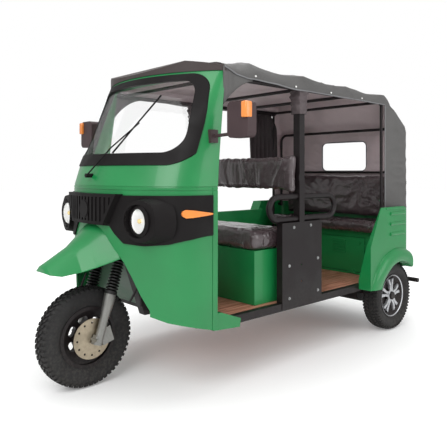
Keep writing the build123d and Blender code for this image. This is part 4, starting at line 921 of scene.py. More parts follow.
@dataclass
class Tyre:
    """A tyre with its carcass turned and its tread set in rings of lugs."""

    node: str
    body: str
    seat: float                     # radius of the rim that it sits on
    pitches: int
    rows: Sequence[LugRow]
    tread_depth: float = 0.008
    root: float = 0.006             # of a lug, below the carcass
    draft: float = 0.84             # of a lug's face to its foot
    shoulder_fall: float = 0.012    # of the tread at the tyre's edge

    def build(self) -> None:
        """Makes the tyre in the place of its CAD node."""
        low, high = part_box(self.node)
        middle = (low + high) / 2
        radius = (high.z - low.z) / 2
        half = (high.x - low.x) / 2
        base = radius - self.tread_depth
        shape = Shape()
        # share of the half-width and radius, from the bead out over the shoulder
        wall = [(0.74, self.seat), (0.78, self.seat + 0.006), (0.76, self.seat + 0.012),
                (0.80, self.seat + 0.016), (0.93, self.seat + 0.032), (0.985, (self.seat + base) / 2),
                (0.97, base - 0.026), (0.93, base - 0.017), (0.86, base - 0.008), (0.70, base - 0.003),
                (0.35, base - 0.0005)]
        outer = [(share * half, r) for share, r in wall]
        profile = outer + [(0.0, base)] + [(-x, r) for x, r in reversed(outer)]
        shape.lathe(profile, Matrix.Translation(middle), steps=96)
        for row in self.rows:
            for pitch in range(self.pitches):
                self.lug(shape, row, (pitch + row.shift) * math.tau / self.pitches, middle, radius, half)
        shape.piece(self.node + "_treaded", TYRE_RUBBER, self.body, [self.node], 28.0)

    def lug(self, shape: Shape, row: LugRow, angle: float, middle: Vector, radius: float,
            half: float) -> None:
        """Sets one lug.

        Args:
            shape: The tyre's mesh.
            row: The ring that it belongs to.
            angle: Its place round the tyre.
            middle: The tyre's middle.
            radius, half: Outer radius and half-width of the tyre.
        """
        def corner(unit: Vector) -> Vector:
            """Corner of the lug.

            Args:
                unit: The same corner of a cube.

            Returns:
                The point.
            """
            top = unit.z > 0
            draft = self.draft if top else 1.0
            across = row.across + unit.y * row.width * draft
            fall = self.shoulder_fall * (abs(across) / half) ** 4
            out = radius - fall - (0.0 if top else self.tread_depth + self.root)
            turn = angle + unit.x * draft * row.length / radius + row.skew * unit.y
            return middle + Vector((across, math.sin(turn) * out, math.cos(turn) * out))

        shape.block(corner)


@dataclass
class StarWheel:
    """A rear wheel's pressed rim with a bright five-armed centre."""

    side: Side
    arms: int = 5
    seat: float = 0.152             # radius of the rim under the tyre's bead
    share: float = 0.74             # of the rim's width to the tyre's
    hub: float = 0.034
    nut_circle: float = 0.052
    tip_sink: float = 0.004         # of an arm's tip behind its root
    # distance out of each station of an arm, and sideways to its two edges
    stations: Sequence[Point] = ((0.030, 0.000, 0.021), (0.078, 0.003, 0.021), (0.122, 0.014, 0.038))

    def build(self) -> None:
        """Makes the rim, the star and the hub cap."""
        name = self.side.name.lower()
        body = f"rear_wheel_{name}"
        low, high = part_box(f"rear_tyre_{name}")
        middle = (low + high) / 2
        facing = Matrix.Translation(middle) @ Matrix.Scale(self.side.value, 4, (1, 0, 0))
        face = (high.x - low.x) / 2 * self.share
        seat = self.seat
        rim = Shape()
        rim.lathe([(face + 0.002, seat), (face + 0.006, seat + 0.008), (face + 0.002, seat + 0.010),
                   (face - 0.006, seat), (face - 0.010, seat - 0.012), (face - 0.030, seat - 0.020),
                   (-face + 0.030, seat - 0.022), (-face + 0.010, seat - 0.010), (-face, seat + 0.008),
                   (-face - 0.004, seat + 0.008), (-face, seat - 0.014), (-face + 0.02, seat - 0.028),
                   (face - 0.036, seat - 0.028), (face - 0.038, self.hub), (face - 0.030, self.hub),
                   (face - 0.026, seat - 0.034), (face - 0.004, seat - 0.006)], facing, closed=True)
        rim.piece(f"rear_rim_{name}_dressed", BLACK_STEEL, body, [f"rear_rim_{name}"], 30.0)
        self.star(facing, face).piece(f"wheel_star_{name}", WHEEL_SILVER, body, (), 30.0)
        cap = Shape()
        cap.lathe([(face - 0.024, 0.030), (face + 0.004, 0.029), (face + 0.009, 0.024), (face + 0.011, 0.0)],
                  facing, steps=32)
        for nut in range(self.arms):
            angle = (nut + 0.5) * math.tau / self.arms
            at = Vector((face - 0.024, math.sin(angle) * self.nut_circle, math.cos(angle) * self.nut_circle))
            cap.rod(facing @ at, facing @ (at + Vector((0.014, 0, 0))), 0.0075, sides=6)
        cap.piece(f"hub_cap_{name}", BLACK_STEEL, body, (), 30.0)

    def star(self, facing: Matrix, face: float) -> Shape:
        """The bright centre.

        Args:
            facing: The wheel's frame, X outwards.
            face: How far out the rim's face lies.

        Returns:
            Its shape.
        """
        seat = self.seat
        star = Shape()
        star.lathe([(face - 0.002, seat - 0.004), (face + 0.004, seat + 0.001), (face, seat + 0.006),
                    (face - 0.006, seat - 0.002), (face - 0.012, seat - 0.014)], facing)
        star.lathe([(face - 0.026, 0.044), (face - 0.012, 0.043), (face - 0.004, 0.036),
                    (face - 0.006, 0.026), (face - 0.020, 0.022)], facing)
        for arm in range(self.arms):
            turn = Matrix.Rotation(arm * math.tau / self.arms, 4, "X")
            count = len(star.mesh.verts)
            self.arm(star, face)
            bmesh.ops.transform(star.mesh, matrix=facing @ turn, verts=star.since(count))
        star.round_edges(0.0012)
        return star

    def arm(self, shape: Shape, face: float) -> None:
        """One forked arm, pointing up.

        Args:
            shape: The star's mesh.
            face: How far out the rim's face lies.
        """
        for side in SIDES:
            for root, tip in zip(self.stations, self.stations[1:]):
                shape.block(partial(self.arm_corner, face, side, root, tip))

    def arm_corner(self, face: float, side: int, root: Point, tip: Point, unit: Vector) -> Vector:
        """Corner of one length of an arm.

        Args:
            face: How far out the rim's face lies.
            side: The side of the fork that it is on.
            root, tip: The stations that it runs between.
            unit: The same corner of a cube.

        Returns:
            The point.
        """
        end = tip if unit.z > 0 else root
        sink = self.tip_sink if end is self.stations[-1] else 0.0
        out = face - (0.006 if unit.x > 0 else 0.026) - sink
        return Vector((out, side * end[2 if unit.y > 0 else 1], end[0]))


# ---------------------------------------------------------------- fork
@dataclass
class Fork:
    """Ribbed bellows of the front fork."""

    rake: float = math.radians(17.0)
    lead: float = 0.027
    spacing: float = 0.210
    bottom: float = 0.254
    length: float = 0.208
    radius: float = 0.0365
    collar: float = 0.022           # length of the plain collar below the ribs
    root: float = 0.0215            # radius between two ribs
    ribs: int = 10
    rib_taper: float = 0.14         # share by which the top rib would be smaller than the first
    wheel_radius: float = 0.275

    def frame_at(self, across: float, along: float) -> Matrix:
        """Local frame whose X axis runs up a leg.

        Args:
            across: The leg's distance from the middle.
            along: Distance up the steering axis.

        Returns:
            The frame as a matrix.
        """
        up = Vector((0, math.sin(self.rake), math.cos(self.rake)))
        foot = spot(across, self.lead * math.cos(self.rake),
                    self.wheel_radius - self.lead * math.sin(self.rake))
        return lies(foot + up * along, up)

    def build(self) -> None:
        """Makes both bellows."""
        profile = [(0.0, 0.020), (0.0, self.radius - 0.002), (self.collar - 0.004, self.radius - 0.002),
                   (self.collar, 0.024)]
        pitch = (self.length - 0.040) / self.ribs
        for rib in range(self.ribs):
            start = self.collar + rib * pitch
            reach = self.radius * (1 - self.rib_taper * rib / self.ribs)
            profile += [(start + pitch * 0.30, reach - 0.001), (start + pitch * 0.5, reach),
                        (start + pitch * 0.70, reach - 0.001), (start + pitch, self.root)]
        profile += [(self.length - 0.016, self.radius - 0.005), (self.length, self.radius - 0.005),
                    (self.length, 0.018)]
        shape = Shape()
        for side in SIDES:
            shape.lathe(profile, self.frame_at(side * self.spacing / 2, self.bottom), steps=40)
        shape.piece("fork_bellows_ribbed", BELLOWS_RUBBER, "steering", ["fork_bellows"], 50.0)


# ---------------------------------------------------------------- lamps
@dataclass
class Headlamps:
    """Round lamps: bezel, bowl painted near white as its reflection, bulb and clear lens."""

    half_spacing: float = 0.388
    station: float = 0.091
    height: float = 0.930
    radius: float = 0.070

    def build(self) -> None:
        """Makes both lamps."""
        bowls, lenses, bulbs, bezels = Shape(), Shape(), Shape(), Shape()
        r = self.radius
        for side in SIDES:
            forward = lies(spot(side * self.half_spacing, self.station, self.height), Vector((0, -1, 0)))
            bowls.lathe([(-0.002, r - 0.004), (-0.006, r * 0.90), (-0.010, r * 0.68), (-0.0125, r * 0.36),
                         (-0.013, r * 0.14), (-0.013, 0.0)], forward)
            lenses.lathe([(-0.003, r - 0.003), (0.003, r * 0.92), (0.008, r * 0.66), (0.011, r * 0.33),
                          (0.012, 0.0)], forward)
            bulbs.lathe([(-0.013, 0.012), (-0.006, 0.012), (-0.002, 0.008), (0.0, 0.0)], forward, steps=24)
            bezels.lathe([(-0.014, r + 0.016), (-0.004, r + 0.016), (0.003, r + 0.002), (0.004, r - 0.002),
                          (0.003, r - 0.005), (-0.006, r - 0.006), (-0.014, r - 0.006)], forward)
        bowls.piece("lamp_bowls", LAMP_BOWL_PAINTED_REFLECTION, "body", ["headlamps"], 40.0)
        lenses.piece("lamp_lenses", LAMP_LENS)
        bulbs.piece("lamp_bulbs", BULB)
        bezels.piece("lamp_bezels", BLACK_PLASTIC)


# ---------------------------------------------------------------- canopy
@dataclass
class Canopy:
    """One sheet of coated canvas from the cab over the bows down to the rear body."""

    bows: Sequence[float] = (0.530, 0.764, 1.246, 1.720, 2.187)
    # station, half-width and height of the hem, half-width and height of the shoulder, crown
    rows: Sequence[tuple[float, ...]] = (
        (0.530, 0.572, 1.764, 0.530, 1.788, 1.828),
        (0.574, 0.575, 1.745, 0.528, 1.798, 1.834),
        (0.620, 0.576, 1.726, 0.527, 1.808, 1.844),
        (0.711, 0.576, 1.714, 0.527, 1.816, 1.854),
        (0.764, 0.576, 1.715, 0.527, 1.818, 1.858),
        (0.903, 0.574, 1.710, 0.531, 1.808, 1.852),
        (1.149, 0.569, 1.696, 0.540, 1.798, 1.843),
        (1.246, 0.566, 1.698, 0.541, 1.798, 1.842),
        (1.720, 0.565, 1.695, 0.535, 1.784, 1.828),
        (2.187, 0.565, 1.690, 0.540, 1.768, 1.812))
    roof_cells: tuple[int, int] = (100, 150)
    rear_cells: tuple[int, int] = (130, 130)
    shoulder_share: float = 0.22    # of the way from hem to crown
    sag: float = 0.016              # between two bows
    thickness: float = 0.004
    foot: float = 0.914             # height of the sheet's lower edge at the rear
    rise: float = 80 / 130          # share of the rear's levels that lie below the hem
    corner_half: float = 0.648      # half-width at the rear corners
    corner: float = 0.060           # their radius
    flare_end: float = 2.390        # station where the sides have spread to them
    lean_height: float = 1.53       # above it the corners lean inwards
    lean: float = 0.525
    bulge: float = 0.086            # of the rear wall
    rear_middle: float = 2.484
    # height and station of the rear wall's middle
    rear_line: Profile = ((0.0, 2.484), (1.44, 2.482), (1.49, 2.474), (1.53, 2.452), (1.60, 2.384),
                          (1.66, 2.330), (1.74, 2.262), (1.812, 2.187))
    # shares of the way round from post to middle where the side and the corner end
    turns: tuple[float, float] = (0.30, 0.45)
    crown_reach: float = 0.2        # half-width within which rear and roof share their points
    crown_depth: float = 0.0025     # and how far behind the last bow they still do
    sliver: float = 0.0015          # width of the faces that are closed up
    held: float = 0.09              # reach on each side of the last bow where the sheet lies calmer
    roof_ruffle: float = 0.0035
    rear_ruffle: float = 0.008
    fold_depth: float = 0.005
    window: tuple[float, float, float, float] = (0.226, 1.192, 1.442, 0.045)   # half-width, heights, corner
    rivets: Sequence[float] = (0.767, 1.135, 1.503, 1.871)
    # station and height of the free edge of the gusset between hem and cab
    gusset: Profile = ((0.524, 1.555), (0.552, 1.586), (0.584, 1.618), (0.622, 1.648), (0.663, 1.674),
                       (0.705, 1.692), (0.749, 1.703))

    @property
    def rear_post(self) -> float:
        """Station of the last bow."""
        return self.bows[-1]

    def at(self, station: float) -> list[float]:
        """Hem, shoulder and crown at a station.

        Args:
            station: Place along the vehicle.

        Returns:
            Half-width and height of the hem and of the shoulder, and the crown's height.
        """
        for low, high in zip(self.rows, self.rows[1:]):
            if station <= high[0]:
                share = (station - low[0]) / (high[0] - low[0])
                return [blended(a, b, max(0.0, share)) for a, b in zip(low[1:], high[1:])]
        return list(self.rows[-1][1:])

    def slack(self, station: float) -> float:
        """How far the sheet hangs between two bows.

        Args:
            station: Place along the vehicle.

        Returns:
            0 at a bow, 1 in the middle between two.
        """
        for low, high in zip(self.bows, self.bows[1:]):
            if low <= station <= high:
                return math.sin(math.pi * (station - low) / (high - low)) ** 0.9
        return 0.0

    def across(self, share: float, station: float) -> tuple[float, float]:
        """Half-width and height of the roof's section.

        Args:
            share: 0 at the hem, 1 at the crown.
            station: Place along the vehicle.

        Returns:
            Half-width and height.
        """
        hem_x, hem_z, shoulder_x, shoulder_z, crown = self.at(station)
        sag = self.sag * self.slack(station)
        shoulder_x -= 0.5 * sag
        if share < self.shoulder_share:
            step = share / self.shoulder_share
            x = hem_x + (shoulder_x - hem_x) * step ** 1.8
            return x, hem_z + (shoulder_z - sag - hem_z) * step
        step = (share - self.shoulder_share) / (1 - self.shoulder_share)
        x = shoulder_x * (1 - step)
        return x, crown - sag - (crown - shoulder_z) * (x / shoulder_x) ** 2.4

    def roof(self, across: float, along: float) -> Vector:
        """Point of the roof sheet.

        Args:
            across: Share of the way from the right hem to the left.
            along: Share of the way from the first bow to the last.

        Returns:
            The point.
        """
        station = self.bows[0] + (self.rear_post - self.bows[0]) * along
        side = 1 if across > 0.5 else -1
        share = 1 - abs(across - 0.5) * 2
        x, height = self.across(share, station)
        return spot(side * x, station, height)

    def rear(self, around: float, level: float) -> Vector:
        """Point of the rear sheet, drawn to the roof's own points beside the crown, so no slivers form.

        Args:
            around: Share of the way round from the right post to the left.
            level: Share of the way from the foot to the crown.

        Returns:
            The point.
        """
        point = self.behind(around, level)
        beside = abs(point.x) < self.crown_reach and point.y < AXLE_Y + self.rear_post + self.crown_depth
        if level > self.rise and beside:
            half = self.roof_cells[0] // 2
            step = round(half * (1 - (1 - self.shoulder_share) * abs(point.x) / self.rows[-1][3]))
            x, height = self.across(step / half, self.rear_post)
            point = spot(math.copysign(x, point.x), self.rear_post, height)
        return point

    def behind(self, around: float, level: float) -> Vector:
        """Point of the rear sheet before it is drawn to the roof.

        Args:
            around: Share of the way round from the right post to the left.
            level: Share of the way from the foot to the crown.

        Returns:
            The point.
        """
        hem_x, hem_z = self.across(0.0, self.rear_post)
        if level < self.rise:
            half, height = hem_x, self.foot + (hem_z - self.foot) * level / self.rise
        else:
            half, height = self.across((level - self.rise) / (1 - self.rise), self.rear_post)
        scale, side_end, corner_x = self.corner_of(half, height)
        radius = self.corner * scale
        side = 1 if around > 0.5 else -1
        share = 1 - abs(around - 0.5) * 2       # 0 at the post, 1 at the middle of the rear wall
        straight, turned = self.turns
        if share < straight:
            step = share / straight
            x, station = blended(half, corner_x, step), blended(self.rear_post, side_end - radius, step)
        elif share < turned:
            turn = (share - straight) / (turned - straight) * math.pi / 2
            x = corner_x - radius * (1 - math.cos(turn))
            station = side_end - radius * (1 - math.sin(turn))
        else:
            x = (corner_x - radius) * (1 - (share - turned) / (1 - turned))
            station = self.wall_at(x, height)
        return spot(side * x, station, height)

    def corner_of(self, half: float, height: float) -> tuple[float, float, float]:
        """Rear corner of the section at a height.

        Args:
            half: Half-width at the rear post.
            height: Height of the section.

        Returns:
            Scale of the corner, station where the side ends and half-width there.
        """
        wall = self.rear_station(height)
        scale = min(1.0, (wall - self.rear_post) / (self.rear_middle - self.rear_post))
        side_end = wall - self.bulge * scale
        flare = min(1.0, (side_end - self.rear_post) / (self.flare_end - self.rear_post))
        leaning = self.corner_half - max(0.0, height - self.lean_height) * self.lean
        return scale, side_end, max(half, min(blended(half, self.corner_half, flare), leaning))

    def wall_at(self, x: float, height: float) -> float:
        """Place of the rear wall at a point of its face.

        Args:
            x: Distance to the vehicle's left.
            height: Height over the ground.

        Returns:
            Its station.
        """
        scale, side_end, corner_x = self.corner_of(self.rows[-1][1], height)
        reach = max(corner_x - self.corner * scale, 1e-6)
        return side_end + self.bulge * scale * (1 - min(1.0, abs(x) / reach) ** 2)

    def rear_station(self, height: float) -> float:
        """Place of the rear wall's middle.

        Args:
            height: Height over the ground.

        Returns:
            Its station.
        """
        for (low, near), (high, far) in zip(self.rear_line, self.rear_line[1:]):
            if height <= high:
                return near + (far - near) * (height - low) / (high - low)
        return self.rear_line[-1][1]

    def build(self) -> None:
        """Makes the sheet, its gussets, its window and its piping."""
        shape = Shape()
        shape.grid(*self.roof_cells, self.roof)
        shape.grid(*self.rear_cells, self.rear)     # its upper 50 levels meet the roof's points
        shape.weld(0, 1e-4)
        bmesh.ops.dissolve_degenerate(shape.mesh, dist=self.sliver, edges=shape.mesh.edges)
        bmesh.ops.recalc_face_normals(shape.mesh, faces=shape.mesh.faces)
        self.cut_window(shape.mesh)
        self.ruffle(shape.mesh)
        cover = shape.piece("canopy_cover", CANOPY_VINYL, "body", ["canopy"], 60.0)
        cover.data.materials.append(CANOPY_LINING.material())
        skin = thicken(cover, self.thickness)
        skin.offset = -1.0
        skin.use_quality_normals = True
        skin.material_offset = 1
        skin.material_offset_rim = 0
        self.trim()

    def window_edge(self) -> list[tuple[float, float]]:
        """Rounded outline of the rear window.

        Returns:
            X and height of its points.
        """
        half, low, high, corner = self.window
        side = half - corner
        centres = ((side, high - corner), (-side, high - corner), (-side, low + corner), (side, low + corner))
        return [(x + corner * math.cos(math.pi / 2 * (quarter + step / 6)),
                 z + corner * math.sin(math.pi / 2 * (quarter + step / 6)))
                for quarter, (x, z) in enumerate(centres) for step in range(7)]

    def cut_window(self, mesh: bmesh.types.BMesh) -> None:
        """Opens the rear window in the sheet.

        Args:
            mesh: The sheet.
        """
        edge = self.window_edge()
        wall = AXLE_Y + self.flare_end
        cuts = [(Vector((x, 0, z)), Vector((next_z - z, 0, x - next_x)))
                for (x, z), (next_x, next_z) in zip(edge, edge[1:] + edge[:1])]
        for place, normal in cuts:
            faces = [face for face in mesh.faces if face.calc_center_median().y > wall
                     and abs(face.calc_center_median().x) < self.window[0] + 0.05]
            around = {item for face in faces for item in (*face.edges, *face.verts)}
            bmesh.ops.bisect_plane(mesh, geom=[*faces, *around], dist=1e-5, plane_co=place,
                                   plane_no=normal)
        inside = []
        for face in mesh.faces:
            centre = face.calc_center_median()
            if centre.y > wall and all((centre - place).dot(normal) <= 0 for place, normal in cuts):
                inside.append(face)
        bmesh.ops.delete(mesh, geom=inside, context="FACES")
        LOG.info("rear window: %d faces taken out", len(inside))

    def trim(self) -> None:
        """Adds piping, the window's binding, gussets and rivets."""
        piping, gussets, rivets = Shape(), Shape(), Shape()
        edge = self.window_edge()
        piping.pipe([spot(x, self.wall_at(x, z) - 0.002, z) for x, z in edge], 0.0055, closed=True)
        for side in SIDES:
            hem = [self.roof(side > 0, step / 60) + Vector((0, 0, 0.001)) for step in range(61)]
            drop = [self.rear(side > 0, self.rise * (1 - step / 20)) for step in range(21)]
            piping.pipe(hem + drop[1:], 0.0042)
            gussets.grid(len(self.gusset) - 1, 4, partial(self.gusset_point, side))
            for station in self.rivets:
                x, height = self.across(0.02, station)
                head = spot(side * (x + 0.002), station, height + 0.010)
                out = Vector((side, 0, 0))
                rivets.rod(head - out * 0.001, head + out * 0.005, 0.0055)
        piping.piece("canopy_piping", CANOPY_TRIM)
        thicken(gussets.piece("canopy_gussets", CANOPY_VINYL, "body", (), 60.0), 0.003)
        rivets.round_edges(0.001)
        rivets.piece("canopy_rivets", WHITE_CAP)

    def gusset_point(self, side: int, along: float, down: float) -> Vector:
        """Point of a gusset.

        Args:
            side: The gusset's side.
            along: Share of the way along its free edge.
            down: Share of the way from the hem to that edge.

        Returns:
            The point.
        """
        last = len(self.gusset) - 1
        station, low = self.gusset[min(last, round(along * last))]
        x, hem = self.across(0.02, max(station, self.bows[0]))
        return spot(side * (x - 0.003), station, blended(hem, low, down))

    def ruffle(self, mesh: bmesh.types.BMesh) -> None:
        """Moves the sheet's points in soft folds.

        Args:
            mesh: The sheet.
        """
        mesh.normal_update()
        moves = []
        for vert in mesh.verts:
            place = vert.co
            soft = noise.noise(Vector((place.x * 4.0, place.y * 3.0, place.z * 3.0)))
            fold = 1 - abs(noise.noise(Vector((place.x * 9 + place.z * 6, place.y * 5 - place.z * 9, 3.7))))
            behind = place.y - AXLE_Y - self.rear_post
            calm = min(1.0, abs(behind) / self.held)
            depth = self.rear_ruffle if behind > 0 else self.roof_ruffle
            moves.append(vert.normal * calm * (depth * soft + self.fold_depth * (fold ** 6 - 0.4)))
        for vert, move in zip(mesh.verts, moves):
            vert.co += move


# ---------------------------------------------------------------- seats
@dataclass
class Cushion:
    """A stuffed seat piece under a loose, wrinkled cover."""

    node: str
    fold: Vector                    # how tightly the wrinkles run along each axis
    depth: float = 0.006            # of the wrinkles
    swell: float = 4.0              # pressure inside the cover
    cap: float = 0.012              # farthest that it swells
    inset: float = 0.008            # of the block in its space before it swells
    voxel: float = 0.008
    steps: int = 20
    slack: tuple[float, float] = (0.004, 0.006)     # over the low and the high side of its space

    def start(self) -> bpy.types.Object:
        """Makes a block a little smaller than the space of the CAD solid.

        Returns:
            The block, with its points spaced evenly.
        """
        low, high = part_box(self.node)
        margin = Vector((self.inset, self.inset, self.inset))
        shape = Shape()
        shape.box(low + margin, high - margin)
        shape.round_edges(min(high.z - low.z, high.y - low.y) * 0.3, 4)
        block = placed("block", shape.data("block"))
        even = block.modifiers.new("even", "REMESH")
        even.mode = "VOXEL"
        even.voxel_size = self.voxel
        return block

    def build(self) -> None:
        """Makes the cushion."""
        low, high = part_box(self.node)
        block = self.start()
        mesh = settled(block)
        block.modifiers.clear()
        block.data = mesh
        mesh = self.inflate(block)
        bpy.data.objects.remove(block)
        self.wrinkle(mesh, low, high)
        pad = as_piece(self.node + "_stuffed", mesh, SEAT_VINYL, "body", [self.node], 180.0)
        fine = pad.modifiers.new("fine", "SUBSURF")
        fine.levels = fine.render_levels = 1

    def inflate(self, block: bpy.types.Object) -> bpy.types.Mesh:
        """Swells the cover by simulation.

        Args:
            block: The block's object.

        Returns:
            The swollen mesh.
        """
        rest = [vert.co.copy() for vert in block.data.vertices]
        cloth = block.modifiers.new("cloth", "CLOTH")
        cloth.settings.quality = 4
        cloth.settings.use_pressure = True
        cloth.settings.uniform_pressure_force = self.swell
        cloth.settings.effector_weights.gravity = 0.0
        cloth.settings.shrink_min = -0.06
        cloth.settings.tension_stiffness = 8.0
        cloth.settings.bending_stiffness = 0.2
        scene = bpy.context.scene
        for step in range(1, self.steps + 1):
            scene.frame_set(step)
        mesh = settled(block)
        scene.frame_set(1)
        for vert, before in zip(mesh.vertices, rest):
            move = vert.co - before
            if move.length > self.cap:
                vert.co = before + move.normalized() * self.cap
        return mesh

    def wrinkle(self, mesh: bpy.types.Mesh, low: Vector, high: Vector) -> None:
        """Lays folds over the cover and keeps it in its space.

        Args:
            mesh: The cover.
            low, high: The space's corners.
        """
        normals = [vert.normal.copy() for vert in mesh.vertices]
        for vert, normal in zip(mesh.vertices, normals):
            place = Vector([c * f for c, f in zip(vert.co, self.fold)])
            warp = noise.noise_vector(vert.co * 5.0) * 0.5
            sharp = 1 - abs(noise.noise(place + warp))
            fine = 1 - abs(noise.noise(place * 2.3 + warp * 2 + Vector((7, 3, 1))))
            vert.co += normal * self.depth * (sharp ** 5 * 0.8 + fine ** 5 * 0.35 - 0.6)
            vert.co.z = max(vert.co.z, low.z + 0.0005)
            for axis in range(3):
                vert.co[axis] = min(max(vert.co[axis], low[axis] - self.slack[0]), high[axis] + self.slack[1])


# ---------------------------------------------------------------- drapes
@dataclass
class Curtain:
    """Side curtain gathered up beside the right rear post, coloured dark with painted shade."""

    x: float = -0.545
    top: float = 1.712
    bottom: float = 1.060
    front: float = 1.855
    rear: float = 2.215
    folds: float = 7.0
    depth: float = 0.0176           # of a fold at the bottom
    top_share: float = 0.35         # of that depth at the top
    tie: float = 0.42               # share of the width that is gathered in at the top
    droop: float = 0.012            # of the upper edge between two ties
    drift: float = 0.010

    def point(self, along: float, down: float) -> Vector:
        """Point of the cloth.

        Args:
            along: Share of the way from its front edge to its rear edge.
            down: Share of the way from top to bottom.

        Returns:
            The point.
        """
        pinch = 1 - self.tie * math.exp(-((down - 0.02) / 0.12) ** 2)
        middle = (self.front + self.rear) / 2
        station = middle + (along - 0.5) * (self.rear - self.front) * pinch
        wave = math.sin(along * self.folds * math.tau + 1.5 * down)
        drift = noise.noise(Vector((along * 3, down * 2, 0.4)))
        droop = self.droop * abs(math.sin(along * 2.5 * math.pi)) * max(0.0, 1 - down / 0.08)
        height = self.top - droop - (self.top - self.bottom) * down
        deep = self.depth * (self.top_share + (1 - self.top_share) * down)
        return spot(self.x + deep * wave + self.drift * drift, station, height)

    def build(self) -> None:
        """Makes the curtain."""
        shape = Shape()
        shape.grid(96, 40, self.point)
        drape = shape.piece("side_curtain", SHADED_CURTAIN_VINYL, "body", (), 180.0)
        thicken(drape, 0.002)


# ---------------------------------------------------------------- small parts
@dataclass
class Mirrors:
    """Glass, and an amber lens on the outer upper corner of each shell."""

    head: tuple[float, float] = (0.150, 0.186)      # width and height of a shell
    inset: float = 0.012                            # of the glass in it
    lens: tuple[float, float] = (0.036, 0.088)      # width and height

    def build(self) -> None:
        """Makes both mirrors' dressing."""
        low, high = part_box("mirrors")
        glass, lens = Shape(), Shape()
        for side in SIDES:
            outer, inner = side * high.x, side * (high.x - self.head[0])
            glass.box((inner + side * self.inset, high.y - 0.001, high.z - self.head[1] + self.inset),
                      (outer - side * self.inset, high.y + 0.001, high.z - self.inset))
            lens.box((outer - side * self.lens[0], low.y - 0.004, high.z - self.lens[1]),
                     (outer + side * 0.003, low.y + 0.044, high.z - 0.006))
        glass.round_edges(0.0006)
        glass.piece("mirror_glasses", MIRROR)
        lens.round_edges(0.008, 3)
        lens.piece("mirror_lenses", AMBER_LENS)


@dataclass
class ArchFlares:
    """Full bulges of the quarter panels over the rear wheels."""

    axle: tuple[float, float] = (2.232, 0.252)      # station and height
    lip: float = 0.266
    panel_x: float = 0.642
    foot: float = 0.346
    rear: float = 2.402
    # out from the lip, and outwards from the panel
    profile: Profile = ((0.0, -0.050), (0.0, -0.010), (0.0, 0.022), (0.003, 0.031), (0.012, 0.036),
                        (0.040, 0.037), (0.062, 0.034), (0.080, 0.026), (0.094, 0.012), (0.102, -0.004),
                        (0.104, -0.020), (0.104, -0.050), (0.0, -0.050))
    cap: tuple[float, float] = (0.052, -0.008)      # where the section's ends are gathered
    cells: int = 72
    front_swell: float = 0.55                       # share of the bulge at the front end

    def point(self, side: int, along: float, over: float) -> Vector:
        """Point of one flare.

        Args:
            side: The flare's side.
            along: Share of the way along its arc, from front to rear.
            over: Share of the way over its section.

        Returns:
            The point.
        """
        step = round(along * self.cells)
        inner = 0 < step < self.cells
        rise, out = self.profile[round(over * (len(self.profile) - 1))] if inner else self.cap
        radius = self.lip + rise
        start = math.asin((self.foot - self.axle[1]) / radius)
        end = math.pi - math.acos((self.rear - self.axle[0]) / radius)
        share = min(1.0, max(0.0, (step - 1) / (self.cells - 2)))
        angle = blended(start, end, share)
        swell = blended(self.front_swell, 1.0, min(1.0, 2.5 * share)) if out > 0 else 1.0
        return spot(side * (self.panel_x + out * swell), self.axle[0] - math.cos(angle) * radius,
                    self.axle[1] + math.sin(angle) * radius)

    def build(self) -> None:
        """Makes both flares."""
        shape = Shape()
        for side in SIDES:
            count = len(shape.mesh.verts)
            shape.grid(self.cells, len(self.profile) - 1, partial(self.point, side))
            shape.weld(count, 1e-5)
        bmesh.ops.recalc_face_normals(shape.mesh, faces=shape.mesh.faces)
        shape.piece("arch_flares", GREEN_PAINT, "body", (), 50.0)


@dataclass
class Details:
    """Struts of the wheel well, the sleeve of each centre post and the rear wall's bar."""

    # x, station and height of both ends
    struts: Sequence[tuple[Point, Point]] = (((0.235, 0.215, 0.590), (0.235, 0.135, 0.470)),
                                             ((0.300, 0.170, 0.560), (0.330, 0.150, 0.470)))
    strut_radius: float = 0.006
    bar: Point = (0.5, 2.450, 1.182)            # half-length, station of its middle and height
    bar_bow: float = 0.25                       # how strongly it bends with the wall
    bar_radius: float = 0.009
    post: Point = (0.521, 1.226, 1.702)         # a centre post's head
    sleeve_radius: float = 0.037
    sleeve_length: float = 0.15

    def build(self) -> None:
        """Makes them all."""
        steel, sleeves = Shape(), Shape()
        for side in SIDES:
            for start, end in self.struts:
                steel.rod(spot(side * start[0], *start[1:]), spot(side * end[0], *end[1:]), self.strut_radius,
                          sides=16)
            count = len(sleeves.mesh.verts)
            sleeves.grid(32, 24, partial(self.sleeve, side))
            sleeves.weld(count, 1e-4)
        half, middle, height = self.bar
        reach = [half * step / 10 for step in range(-10, 11)]
        steel.pipe([spot(x, middle - self.bar_bow * x ** 2, height) for x in reach], self.bar_radius)
        steel.piece("inner_bars", BLACK_STEEL)
        thicken(sleeves.piece("post_sleeves", CANOPY_SLEEVE, "body", (), 60.0), 0.002)

    def sleeve(self, side: int, around: float, down: float) -> Vector:
        """Point of the wrinkled sleeve round the head of a centre post.

        Args:
            side: The post's side.
            around: Share of the way round it.
            down: Share of the way from its top to its foot.

        Returns:
            The point.
        """
        angle = around * math.tau
        crease = noise.noise(Vector((math.cos(angle) * 2, math.sin(angle) * 2, down * 9)))
        corner = max(abs(math.cos(angle)), abs(math.sin(angle))) ** 0.7     # makes the ring squarer
        reach = (self.sleeve_radius + 0.010 * crease + 0.006 * (1 - down)) / corner
        x, station, height = self.post
        return spot(side * x + math.cos(angle) * reach, station + math.sin(angle) * reach,
                    height - self.sleeve_length * down)


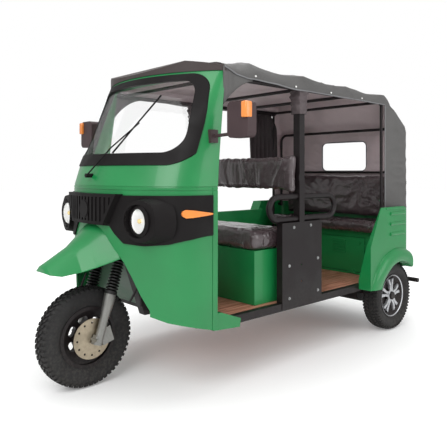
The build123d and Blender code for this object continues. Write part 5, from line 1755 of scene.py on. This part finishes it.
@dataclass
class Fasteners:
    """Screw heads on the panels."""

    # station and height of the screws on each centre panel
    panel_screws: Profile = ((1.145, 0.838), (1.312, 0.842), (1.100, 0.602), (1.386, 0.622), (1.100, 0.400),
                             (1.386, 0.412))
    panel_x: float = 0.548

    def build(self) -> None:
        """Sets every screw."""
        shape = Shape()
        for side in SIDES:
            for station, height in self.panel_screws:
                head = spot(side * self.panel_x, station, height)
                out = Vector((side, 0, 0))
                shape.rod(head - out * 0.001, head + out * 0.0015, 0.010, sides=24)
                shape.rod(head, head + out * 0.006, 0.0065, sides=6)
        shape.round_edges(0.0006, 1)
        shape.piece("panel_screws", ZINC)


def main() -> None:
    """Loads the frame and builds every piece, logging each one's face count."""
    logging.basicConfig(level=logging.INFO, format="%(name)s: %(message)s")
    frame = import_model()
    for imported in list(bpy.data.materials):
        bpy.data.materials.remove(imported)
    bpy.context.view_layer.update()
    RECORD_SLOTS.update(row["slot"] for row in frame["record"]["materials"])
    Studio().build()
    Bodywork(frame).build()
    front_rows = [LugRow(side * 0.0435, 0.021, 0.019, 0.0, 0.5 * (side > 0)) for side in SIDES]
    front_rows += [LugRow(side * 0.015, 0.024, 0.018, side * 0.05, 0.25 + 0.5 * (side > 0)) for side in SIDES]
    Tyre("front_tyre", "front_wheel", 0.156, 54, front_rows).build()
    rear_rows = [LugRow(side * 0.049, 0.024, 0.015, 0.0, 0.5 * (side > 0)) for side in SIDES]
    rear_rows += [LugRow(side * 0.018, 0.026, 0.020, side * 0.04, 0.25) for side in SIDES]
    for side in Side:
        name = side.name.lower()
        Tyre(f"rear_tyre_{name}", f"rear_wheel_{name}", 0.152, 60, rear_rows, 0.007).build()
        StarWheel(side).build()
    Fork().build()
    Headlamps().build()
    Canopy().build()
    Cushion("driver_seat_cushion", Vector((5.0, 9.0, 12.0))).build()
    Cushion("driver_backrest", Vector((13.0, 6.0, 3.0)), depth=0.009).build()
    Cushion("rear_seat_cushion", Vector((6.0, 10.0, 10.0))).build()
    Cushion("rear_backrest", Vector((5.0, 6.0, 9.0)), depth=0.008).build()
    Curtain().build()
    Mirrors().build()
    Details().build()
    ArchFlares().build()
    Fasteners().build()


if __name__ == "__main__":
    main()
